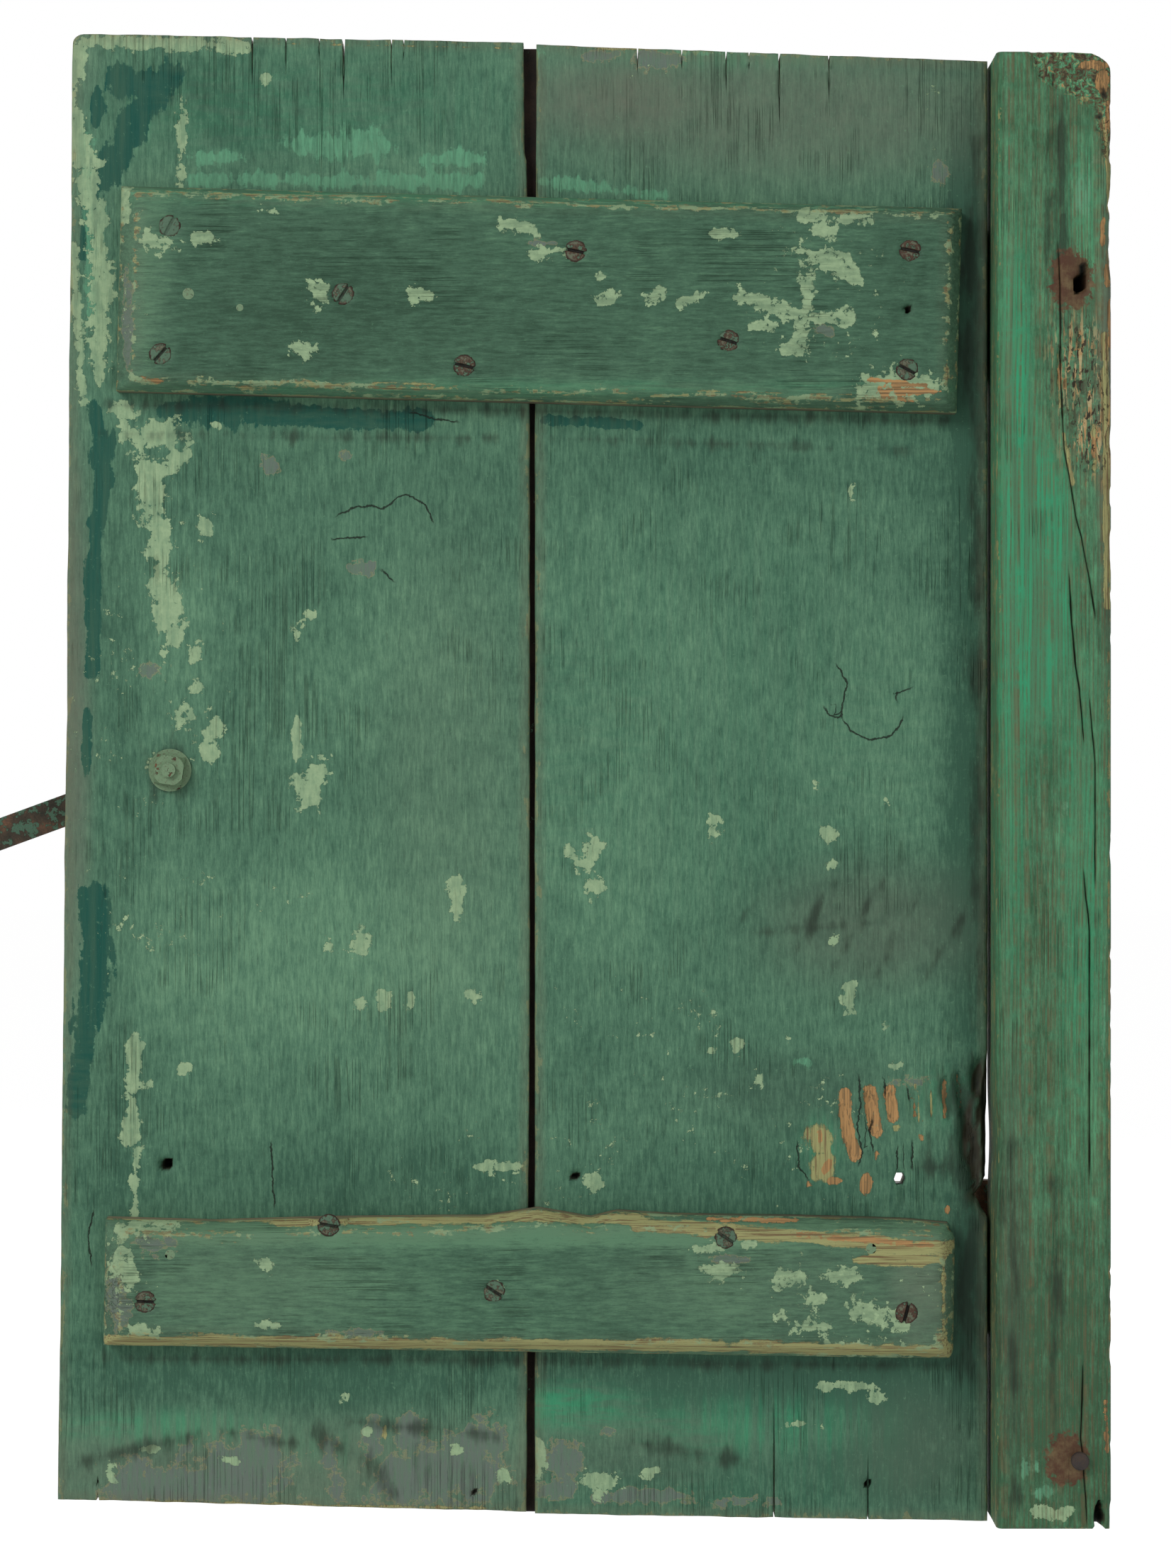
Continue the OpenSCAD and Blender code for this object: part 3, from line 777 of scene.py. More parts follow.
@dataclass(frozen=True)
class OldPaint:
    """Worn oil paint in layers over softwood."""

    name: str
    deep: Colour
    middle: Colour
    pale: Colour
    run: GrainRun
    sage: Colour = shade("99b28a")
    mint: Colour = shade("5f9b78")
    teal: Colour = shade("084c40")
    emerald: Colour = shade("2f966a")
    dull: Colour = shade("63695a")
    lilac: Colour = shade("5b6b66")
    fringe: Colour = shade("8a7264")
    rot: Colour = shade("30281c")
    tan: Colour = shade("999967")
    orange: Colour = shade("ae8657")
    bare_dark: Colour = shade("6d5a3e")
    back_wood: Colour = shade("6f6553")
    wood_dark: Colour = shade("463b2e")
    wood_pale: Colour = shade("8f856e")
    # Near black for hair cracks and for painted shade deep in holes and splits.
    crack: Colour = shade("11170f")
    # Near black for grain lines, pores, dirt, and painted shadows.
    grime_and_shade: Colour = shade("1b251b")
    rust: Colour = shade("4f2f20")
    ragged: float = 0.009
    brown_grain: float = 0.0
    soiled_rim: float = 0.22
    wall_wear: float = 0.55
    hold: float = 0.24
    stroke_contrast: float = 1.0
    cross_strokes: float = 0.8
    worn_rim: float = 0.8
    furrow_pitch: float = 0.0023
    flake_shift: float = 0.004
    rim_tone: Colour = shade("928f5f")

    def _grain(self, net: Wiring, across: float, along: float, detail: float, rough: float,
               swirl: float = 0.0) -> Socket:
        """Adds noise drawn out along the grain.

        Args:
            net: The material's wiring.
            across: Clouds a metre across the grain.
            along: Clouds a metre along the grain.
            detail: How many finer layers.
            rough: Strength of the finer layers.
            swirl: Distortion.

        Returns:
            The noise.
        """
        upright = self.run is GrainRun.UPRIGHT
        scale = (across, across, along) if upright else (along, across, across)
        return net.noise(net.stretch(scale), 1.0, detail, rough, swirl)

    def _patch(self, net: Wiring, distance: Socket, flake: Socket, reach: float) -> Socket:
        """Gives a patch's share, its edge broken up by the flake noise as far as the reach."""
        shift = net.times(net.plus(flake, -0.5), reach * 3)
        return net.step(net.plus(distance, shift), 0.0004, -0.0004)

    def _scraps(self, net: Wiring, distance: Socket, flake: Socket, front_only: Socket) -> Socket:
        """Keeps a patch whole at its heart and lets it crumble into angular scraps at its rim.

        Args:
            net: The material's wiring.
            distance: Distance to the patch, negative inside.
            flake: Noise that shapes the scraps.
            front_only: 1 on the front face, 0 elsewhere.

        Returns:
            The patch's share.
        """
        bend = net.times(net.plus(net.noise(net.place, 95.0, 4.0, 0.6), -0.5), 0.030)
        level = net.times(net.step(net.plus(distance, bend), 0.0045, -0.0050), front_only)
        mask = net.step(net.plus(net.plus(flake, net.times(level, self.hold)), -0.605), 0.0, 0.008)
        return net.times(mask, net.step(level, 0.01, 0.06))

    def _fading(self, net: Wiring, distance: Socket, cloud: Socket, spread: float) -> Socket:
        """Gives the share of a patch whose scraps thin out and reach past its rim by the spread."""
        level = net.times(net.step(distance, spread, -spread * 1.4), 0.34)
        return net.step(net.plus(net.plus(cloud, level), -0.68), 0.0, 0.07)

    def _ground(self, net: Wiring) -> tuple[Socket, Socket]:
        """Makes the brushed green ground coat.

        Args:
            net: The material's wiring.

        Returns:
            Its colour, and the height of its brush strokes.
        """
        clouds = net.noise(net.place, 14.0, 3.0)
        mottle = net.noise(net.place, 90.0, 9.0, 0.78)
        fine = self._grain(net, 560.0, 85.0, 6.0, 0.8)
        light, emerald, dull = net.channels("tone")
        strokes = self._grain(net, 260.0, 14.0, 4.0, 0.6)
        cross = net.noise(net.stretch((60.0, 60.0, 300.0), 24.0), 1.0, 3.0, 0.55)
        where = net.step(net.noise(net.place, 6.0, 2.0), 0.48, 0.58)
        brushed = net.new("ShaderNodeMix", {0: net.times(where, self.cross_strokes), 2: strokes, 3: cross})
        stroke = brushed.outputs[0]
        blend = net.plus(net.times(clouds, 0.25), net.times(mottle, 0.38))
        blend = net.plus(blend, net.times(stroke, 0.16 * self.stroke_contrast))
        blend = net.plus(blend, net.times(fine, 0.85))
        shift = 0.474 - 0.5 * (0.25 + 0.38 + 0.16 * self.stroke_contrast + 0.85)
        blend = net.plus(net.plus(blend, shift), net.times(light, 0.13))
        ground = net.ramp(blend, [(0.3, self.deep), (0.5, self.middle), (0.72, self.pale)])
        uneven = net.plus(net.times(mottle, 1.2), 0.35)
        green = net.mix(net.step(stroke, 0.35, 0.65), self.emerald, self.middle)
        ground = net.mix(net.math("MULTIPLY", emerald, uneven, True), ground, green)
        ground = net.mix(net.math("MULTIPLY", dull, uneven, True), ground, self.dull)
        return ground, stroke

    def build(self) -> bpy.types.Material:
        """Wires the whole finish.

        Returns:
            The material.
        """
        net = Wiring.of_material(self.name)
        colour, stroke = self._ground(net)
        cloud = net.noise(net.place, 95.0, 9.0, 0.72)
        drawn = self._grain(net, 210.0, 40.0, 6.0, 0.6)
        noise = CoatNoise(
            net, stroke, flake=self._flakes(net), front_only=net.step(net.number("side"), 0.4, 0.1),
            cloud=cloud, drawn=drawn, fibre=self._grain(net, 900.0, 22.0, 4.0, 0.6),
            brushy=net.times(net.plus(drawn, cloud), 0.5),
        )
        lines, dirt_and_shade = net.channels("lines"), net.channels("dirt_and_shade")
        colour, scraps, bare = self._lost_paint(noise, colour)
        colour = self._worn_rim(noise, colour, lines[2])
        colour, line = self._grain_lines(noise, colour)
        if self.brown_grain > 0:
            colour = self._brown_grain(noise, colour)
        colour = self._dirt_and_shade(noise, colour, dirt_and_shade)
        colour = self._hidden_faces(net, colour, noise.fibre)
        colour, hair = self._cracks(noise, colour, lines, dirt_and_shade[2])

        height = net.plus(net.times(noise.stroke, 0.35), net.times(noise.fibre, 0.25))
        stack = net.math("MAXIMUM", scraps, bare)
        height = net.math("SUBTRACT", height, net.times(stack, 0.35))
        height = net.math("SUBTRACT", height, net.times(net.math("MAXIMUM", line, hair), 0.7))
        normal = net.bump(height, 0.0009, 0.8)
        sheen = net.plus(net.times(noise.flake, 0.25), net.times(bare, 0.15))
        return net.surface(colour, net.plus(sheen, 0.5), normal, gloss=0.25)

    def _lost_paint(self, noise: CoatNoise, colour: Socket) -> tuple[Socket, Socket, Socket]:
        """Lays the patches of older coats and bare wood over the ground.

        Args:
            noise: The wiring and its shared noises.
            colour: Colour so far.

        Returns:
            The colour, where a coat has flaked, and where wood is bare.
        """
        net = noise.net
        sage_d, mint_d, teal_d = net.channels("patch_a")
        lilac_d, tan_d, orange_d = net.channels("patch_b")
        fine_mix = net.step(self._grain(net, 500.0, 80.0, 5.0, 0.7), 0.4, 0.65)
        teal = self._patch(net, teal_d, noise.brushy, self.ragged)
        colour = net.mix(teal, colour, net.mix(net.step(noise.stroke, 0.3, 0.8), self.teal, self.deep))
        mint = self._fading(net, mint_d, noise.brushy, 0.008)
        colour = net.mix(net.times(mint, net.plus(net.times(fine_mix, 0.5), 0.42)), colour, self.mint)
        fringe = self._scraps(net, net.plus(lilac_d, -0.0016), noise.flake, noise.front_only)
        lilac = self._scraps(net, lilac_d, noise.flake, noise.front_only)
        colour = net.mix(net.times(fringe, 0.45), colour, net.mix(noise.fibre, self.tan, self.fringe))
        lilac_share = net.times(lilac, 0.8)
        colour = net.mix(lilac_share, colour, net.mix(net.times(fine_mix, 0.6), self.lilac, self.middle))
        sage = self._scraps(net, sage_d, noise.flake, noise.front_only)
        greyed = net.mix(0.35, self.sage, self.middle)
        sage_tone = net.mix(net.step(noise.flake, 0.35, 0.7), greyed, self.sage)
        thin = net.plus(net.times(net.step(noise.drawn, 0.38, 0.56), 0.38), 0.62)
        colour = net.mix(net.times(sage, thin), colour, sage_tone)
        chips = net.times(self._speckle(net), 1.0 if self.brown_grain == 0 else 0.0)
        colour = net.mix(chips, colour, self.sage)
        if self.brown_grain > 0:
            crumbs = net.noise(net.place, 300.0, 4.0, 0.62, 0.8)
            moss = net.ramp(crumbs, [(0.41, self.rot), (0.47, self.bare_dark), (0.49, self.deep),
                                     (0.53, self.middle), (0.61, self.pale), (0.65, self.orange)])
            colour = net.mix(net.times(net.number("decay"), 0.95), colour, moss)
        bare = self._fading(net, tan_d, noise.brushy, 0.004)
        colour = net.mix(bare, colour, net.mix(net.step(noise.fibre, 0.48, 0.66), self.tan, self.bare_dark))
        raw = net.times(self._patch(net, orange_d, noise.flake, 0.0048), noise.front_only)
        fresh = net.mix(net.step(noise.fibre, 0.42, 0.66), self.orange, self.bare_dark)
        colour = net.mix(raw, colour, fresh)
        return colour, net.math("MAXIMUM", sage, chips), net.math("MAXIMUM", bare, raw)

    def _worn_rim(self, noise: CoatNoise, colour: Socket, rim_d: Socket) -> Socket:
        """Wears the paint off the arrises.

        Args:
            noise: The wiring and its shared noises.
            colour: Colour so far.
            rim_d: Distance from the rim.

        Returns:
            The colour.
        """
        net = noise.net
        worn_to = net.times(net.plus(net.times(net.plus(noise.drawn, noise.flake), 0.5), -0.51), 0.03)
        edge = net.step(net.math("SUBTRACT", rim_d, worn_to), 0.0012, 0.0004)
        edge_tone = net.mix(net.step(noise.fibre, 0.4, 0.6), self.tan, self.bare_dark)
        edge_tone = net.mix(net.step(noise.cloud, 0.44, 0.54), self.rim_tone, edge_tone)
        return net.mix(net.times(edge, self.worn_rim), colour, edge_tone)

    def _grain_lines(self, noise: CoatNoise, colour: Socket) -> tuple[Socket, Socket]:
        """Draws grain lines, pores and flecks through the paint.

        Args:
            noise: The wiring and its shared noises.
            colour: Colour so far.

        Returns:
            The colour, and where a grain line is.
        """
        net = noise.net
        grain = self._grain(net, 330.0, 5.0, 3.0, 0.5, 0.3)
        line = net.step(net.math("ABSOLUTE", net.plus(grain, -0.5)), 0.03, 0.0)
        line = net.times(line, net.step(net.noise(net.place, 24.0, 3.0), 0.5, 0.66))
        colour = net.mix(net.times(line, 0.24), colour, self.grime_and_shade)
        pores = net.step(self._grain(net, 800.0, 110.0, 5.0, 0.7), 0.58, 0.68)
        colour = net.mix(net.times(pores, 0.24), colour, self.grime_and_shade)
        fleck = net.noise(net.place, 380.0, 7.0, 0.8)
        colour = net.mix(net.times(net.step(fleck, 0.60, 0.66), 0.42), colour, self.pale)
        colour = net.mix(net.times(net.step(fleck, 0.40, 0.34), 0.3), colour, self.deep)
        return colour, line

    def _brown_grain(self, noise: CoatNoise, colour: Socket) -> Socket:
        """Brings brown veins, furrows and bored streaks of open wood through thin paint.

        Args:
            noise: The wiring and its shared noises.
            colour: Colour so far.

        Returns:
            The colour.
        """
        net = noise.net
        veins = self._grain(net, 420.0, 3.5, 5.0, 0.7, 0.4)
        thin = net.times(net.step(veins, 0.5, 0.6), net.step(noise.cloud, 0.36, 0.6))
        colour = net.mix(net.times(thin, self.brown_grain), colour, self.bare_dark)
        furrow = self._furrows(net, noise.cloud)
        colour = net.mix(net.times(furrow, 0.42), colour, net.mix(noise.fibre, self.bare_dark, self.grime_and_shade))
        streaks = net.step(self._grain(net, 400.0, 42.0, 4.0, 0.6, 0.5), 0.55, 0.58)
        raw_strip = net.mix(net.step(noise.cloud, 0.42, 0.58), shade("b7a77c"), self.orange)
        colour = net.mix(net.times(net.times(streaks, net.number("speckle")), 0.85), colour, raw_strip)
        bored = net.step(self._grain(net, 480.0, 170.0, 4.0, 0.6, 0.5), 0.565, 0.59)
        return net.mix(net.times(bored, net.number("speckle")), colour, self.rot)

    def _dirt_and_shade(self, noise: CoatNoise, colour: Socket, dirt_and_shade: list[Socket]) -> Socket:
        """Adds grime, painted shadows, and the rust stains around iron.

        Args:
            noise: The wiring and its shared noises.
            colour: Colour so far.
            dirt_and_shade: Distances to grime and painted shadow, to rust, and depth in holes, splits and
                decay.

        Returns:
            The colour.
        """
        net = noise.net
        grime_and_shade_d, rust_d, _ = dirt_and_shade
        smear = net.times(net.plus(self._grain(net, 120.0, 30.0, 5.0, 0.6), -0.5), 0.05)
        # Grime marks darken the coat: real dirt, and painted shadow where they lie under the ledges, beside
        # the post and round the washer.
        grime_and_shade = net.times(net.step(net.plus(grime_and_shade_d, smear), 0.005, -0.012), 0.72)
        colour = net.mix(grime_and_shade, colour, self.grime_and_shade)
        rusty = net.step(net.plus(rust_d, net.times(net.plus(noise.flake, -0.5), 0.022)), 0.0006, -0.0012)
        stain = net.mix(net.step(noise.cloud, 0.4, 0.7), self.rust, self.bare_dark)
        return net.mix(net.times(rusty, 0.92), colour, stain)

    def _cracks(self, noise: CoatNoise, colour: Socket, lines: list[Socket],
                depth_shade: Socket) -> tuple[Socket, Socket]:
        """Darkens the margins and the hair cracks, and turns holes, splits and decay rot-brown, near-black
        painted shade where deepest.

        Args:
            noise: The wiring and its shared noises.
            colour: Colour so far.
            lines: Distance to a crack, its strength, and distance to the rim.
            depth_shade: Depth in holes, splits and decay, which sets the rot-brown and the painted shade.

        Returns:
            The colour, and where a hair crack is.
        """
        net = noise.net
        crack_d, crack_on, rim_d = lines
        jitter = net.times(net.plus(net.noise(net.place, 260.0, 5.0, 0.6), -0.5), 0.0036)
        hair = net.step(net.math("ABSOLUTE", net.plus(crack_d, jitter)), 0.0006, 0.0002)
        hair = net.times(net.times(hair, crack_on), noise.front_only)
        soil = net.plus(rim_d, net.times(noise.brushy, -0.012))
        margin = net.times(net.step(soil, 0.002, -0.004), self.soiled_rim)
        colour = net.mix(margin, colour, net.mix(noise.fibre, self.dull, self.bare_dark))
        # Rot-brown in holes, splits and decay, and near-black painted shade at the deepest.
        colour = net.mix(net.times(net.step(depth_shade, 0.05, 0.5), 0.85), colour, self.rot)
        dark = net.math("MAXIMUM", net.step(depth_shade, 0.4, 0.95), net.times(hair, 0.9))
        return net.mix(dark, colour, self.crack), hair

    def _furrows(self, net: Wiring, cloud: Socket) -> Socket:
        """Combs the face into the furrows that soft summer wood leaves between growth rings.

        Args:
            net: The material's wiring.
            cloud: Noise that breaks the furrows up.

        Returns:
            1 in a furrow, 0 on a ridge.
        """
        across = net.new("ShaderNodeSeparateXYZ", {0: net.place})
        wander = net.noise(net.stretch((30.0, 30.0, 2.5)), 1.0, 3.0, 0.6)
        bent = net.plus(across.outputs[0], net.times(wander, 0.016))
        wave = net.math("SINE", net.times(bent, 2 * math.pi / self.furrow_pitch))
        return net.times(net.step(wave, 0.0, 0.9), net.step(cloud, 0.34, 0.56))

    def _speckle(self, net: Wiring) -> Socket:
        """Scatters small chips where the speckle layer asks for them.

        Args:
            net: The material's wiring.

        Returns:
            Where a chip is.
        """
        cells = net.noise(net.place, 210.0, 7.0, 0.74)
        share = net.times(net.number("speckle"), net.step(net.noise(net.place, 40.0, 3.0), 0.4, 0.6))
        level = net.math("SUBTRACT", 0.745, net.times(share, 0.155))
        return net.step(net.math("SUBTRACT", cells, level), 0.0, 0.012)

    def _flakes(self, net: Wiring) -> Socket:
        """Makes the angular outlines along which old paint flakes away.

        Args:
            net: The material's wiring.

        Returns:
            A noise with angular level lines.
        """
        cloud = net.noise(net.place, 210.0, 9.0, 0.72)
        warp = net.new("ShaderNodeTexNoise", {"Vector": net.place, "Scale": 300.0}).outputs["Color"]
        shift = (self.flake_shift,) * 3
        shove = net.new("ShaderNodeVectorMath", {0: warp, 1: shift, 2: net.place}, operation="MULTIPLY_ADD")
        cells = net.new("ShaderNodeTexVoronoi", {"Vector": shove.outputs[0], "Scale": 320.0})
        split = net.new("ShaderNodeSeparateColor", {0: cells.outputs["Color"]})
        chip = net.plus(net.times(split.outputs[0], 0.3), 0.35)
        return net.plus(net.times(cloud, 0.65), net.times(chip, 0.35))

    def _hidden_faces(self, net: Wiring, colour: Socket, fibre: Socket) -> Socket:
        """Leaves the back and the sawn ends in bare grey wood with old paint at the rims.

        Args:
            net: The material's wiring.
            colour: Colour of the painted face.
            fibre: Fine noise along the grain.

        Returns:
            The colour of every face.
        """
        bands = self._grain(net, 130.0, 2.4, 5.0, 0.62, 0.8)
        rings = net.plus(net.times(bands, 0.7), net.times(fibre, 0.3))
        tone = net.ramp(rings, [(0.36, self.wood_dark), (0.5, self.back_wood), (0.64, self.wood_pale)])
        blotch = net.noise(net.place, 16.0, 5.0, 0.6)
        tone = net.mix(net.times(net.step(blotch, 0.52, 0.7), 0.55), tone, self.middle)
        side = net.number("side")
        worn = net.step(blotch, 0.44, 0.56)
        wall = net.times(net.step(side, 0.1, 0.45), self.wall_wear)
        if self.brown_grain > 0:
            wall = net.times(wall, net.number("bare_side"))
        colour = net.mix(wall, colour, tone)
        back = net.step(side, 0.75, 0.9)
        colour = net.mix(net.times(back, 0.9), colour, tone)
        ends = net.times(net.number("end_grain"), net.plus(net.times(worn, 0.6), 0.25))
        return net.mix(ends, colour, tone)


@dataclass(frozen=True)
class RustyIron:
    """Old iron: dark rust with orange bloom, and some paint where the brush has caught it."""

    name: str
    dark: Colour = shade("2e2a22")
    brown: Colour = shade("4f3c2d")
    bloom: Colour = shade("8a5c3c")
    paint: Colour = shade("4c6b55")
    painted: float = 0.3

    def build(self) -> bpy.types.Material:
        """Wires the finish.

        Returns:
            The material.
        """
        net = Wiring.of_material(self.name)
        cloud = net.noise(net.place, 70.0, 6.0, 0.62)
        fine = net.noise(net.place, 900.0, 4.0, 0.65)
        colour = net.ramp(net.plus(net.times(cloud, 0.8), net.times(fine, 0.25)),
                            [(0.38, self.dark), (0.53, self.brown), (0.72, self.bloom)])
        chip = net.noise(net.place, 150.0, 7.0, 0.66)
        level = 0.66 - 0.32 * self.painted
        coat = net.step(chip, level, level + 0.02)
        colour = net.mix(coat, colour, net.mix(net.step(fine, 0.5, 0.8), self.paint, self.brown))
        height = net.plus(net.times(fine, 0.4), net.times(coat, 0.35))
        normal = net.bump(net.plus(height, net.times(cloud, 0.5)), 0.0008, 0.9)
        rough = net.math("SUBTRACT", 0.8, net.times(coat, 0.2))
        return net.surface(colour, rough, normal, gloss=0.35)


@dataclass(frozen=True)
class ScrewFinish:
    """Dull green paint over rusting screw heads."""

    name: str = "painted_screws"
    paint: Colour = shade("4f6a55")
    worn: Colour = shade("5d6350")
    rust: Colour = shade("604230")
    # Near black for rust at the rim, and for rust, dirt and painted shade in open slots.
    dark: Colour = shade("17140e")

    def build(self) -> bpy.types.Material:
        """Wires the finish.

        Returns:
            The material.
        """
        net = Wiring.of_material(self.name)
        reach, slot, rusty = net.channels("head")
        cloud = net.noise(net.place, 330.0, 7.0, 0.68)
        fine = net.noise(net.place, 1500.0, 4.0, 0.6)
        worn = net.step(net.plus(cloud, net.times(rusty, 0.22)), 0.6, 0.64)
        rust = net.mix(fine, self.rust, self.dark)
        colour = net.mix(worn, self.paint, net.mix(net.step(cloud, 0.5, 0.6), rust, self.worn))
        rim = net.step(net.plus(reach, net.times(net.plus(cloud, -0.5), 0.35)), 0.80, 0.93)
        colour = net.mix(rim, colour, net.mix(0.5, rust, self.dark))
        # Open slots go near black: rust and dirt in them, and painted shade.
        colour = net.mix(net.math("MULTIPLY", slot, 1.4, True), colour, self.dark)
        height = net.plus(net.times(fine, 0.5), net.times(worn, -0.5))
        return net.surface(colour, 0.62, net.bump(height, 0.0004), gloss=0.3)


@dataclass(frozen=True)
class JointShadeWood(RustyIron):
    """Softwood for the joint tongue, coloured nearly black as painted shade in the joint, in the same
    blotches as rust and never painted.
    """

    painted: float = 0.0


Finish = OldPaint | RustyIron | ScrewFinish


@cache
def finish(look: Finish) -> bpy.types.Material:
    """Builds a finish once and hands it out after that."""
    return look.build()


def hand_over(piece: bpy.types.Object, look: Finish, body: str) -> bpy.types.Object:
    """Dresses a new piece and lets it ride on its body.

    Args:
        piece: The new mesh.
        look: Its finish.
        body: The body it moves with.

    Returns:
        The same piece.
    """
    piece.data.materials.append(finish(look))
    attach(piece, body)
    LOG.info("%s: %d faces", piece.name, len(piece.data.polygons))
    return piece


# --- Timber pieces ---

BOARD_PAINT = OldPaint("board_paint", shade("325946"), shade("4e775e"),
                       shade("6a9474"), GrainRun.UPRIGHT, worn_rim=0.4)
LEDGE_PAINT = OldPaint("ledge_paint", shade("2b4a37"), shade("40634d"),
                       shade("588062"), GrainRun.LEVEL, soiled_rim=0.08, hold=0.19,
                       rim_tone=shade("8aa37c"))
POST_PAINT = OldPaint("post_paint", shade("2f5236"), shade("477756"),
                      shade("5b9e72"), GrainRun.UPRIGHT, stroke_contrast=3.2, brown_grain=0.5,
                      cross_strokes=0.12, wall_wear=0.8, soiled_rim=0.0)


@dataclass
class Timber:
    """One sawn timber, carved from two grids inside its node's own box.

    The reference corner that marks are placed from is (ref_x, ref_z).
    """

    node: str
    body: str
    slot: str
    paint: OldPaint
    ref_x: float
    ref_z: float
    wear: Weathering
    step_x: float = 2.4 * MM
    step_z: float = 2.6 * MM
    arris: float = 2.0 * MM
    seed: int = 1
    rim: Array = field(default_factory=lambda: np.zeros(1))

    def box(self) -> tuple[Array, Array]:
        """Gives the node's lowest and highest corners."""
        low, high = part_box(self.node)
        return np.array(low), np.array(high)

    def place_mm(self, x: Array, z: Array) -> tuple[Array, Array]:
        """Turns places into millimetres across and down from the reference corner."""
        return (x - self.ref_x) / MM, (self.ref_z - z) / MM

    def paint_layers(self, x: Array, z: Array, deep: Array) -> dict[str, Array]:
        """Works out what the finish needs at each point.

        Args:
            x: Places across.
            z: Places up.
            deep: How deep in a crack or hole a point lies, 0 to 1.

        Returns:
            Attribute names and values.
        """
        across, drop = self.place_mm(x, z)
        far = np.full(x.shape, 0.1)
        channels = {key: [far, far, far] for key in ("patch_a", "patch_b")}
        for layer in PaintLayer:
            key, index = layer.value
            marks = self.wear.patches.get(layer, [])
            channels[key][index] = nearest_mark(marks, across, drop)
        layers = {key: np.stack(values, axis=-1) for key, values in channels.items()}
        grime_and_shade = nearest_mark(self.wear.grime_and_shade, across, drop)
        rust = nearest_mark(self.wear.rust, across, drop)
        # Grime with painted shadows, rust, and depth, which the finish darkens as rot and painted shade.
        layers["dirt_and_shade"] = np.stack([grime_and_shade, rust, deep], axis=-1)
        layers["speckle"] = 1 - ease(nearest_mark(self.wear.speckle, across, drop), -0.006, 0.012)
        tone = np.zeros((*x.shape, 3))
        for part in self.wear.tones:
            tone += part.spread(across, drop)
        layers["tone"] = tone
        line, gate = np.full(x.shape, 99.0), np.zeros(x.shape)
        for fissure in self.wear.fissures:
            signed, share = fissure.trace(across, drop)
            nearer = np.abs(signed) < np.abs(line)
            line, gate = np.where(nearer, signed, line), np.where(nearer, share, gate)
        rim = np.clip(self.rim, -0.01, 0.03)
        layers["lines"] = np.stack([np.clip(line, -20, 20) * MM, gate, rim], axis=-1)
        return layers

    def cuts(self, x: Array, z: Array) -> tuple[Array, Array]:
        """Adds up holes and gouges.

        Args:
            x: Places across.
            z: Places up.

        Returns:
            Depth of the cuts, and how deep in a hole each point lies, 0 to 1.
        """
        across, drop = self.place_mm(x, z)
        depth = np.zeros(x.shape)
        for pit in self.wear.pits:
            depth = np.maximum(depth, pit.cut(across, drop))
        return depth, ease(depth, 3 * MM, 7 * MM)

    def stand_in(self, piece: bpy.types.Object) -> bpy.types.Object:
        """Lets the carved piece stand for its node, and gives it back dressed."""
        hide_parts(self.node)
        return hand_over(piece, self.paint, self.body)


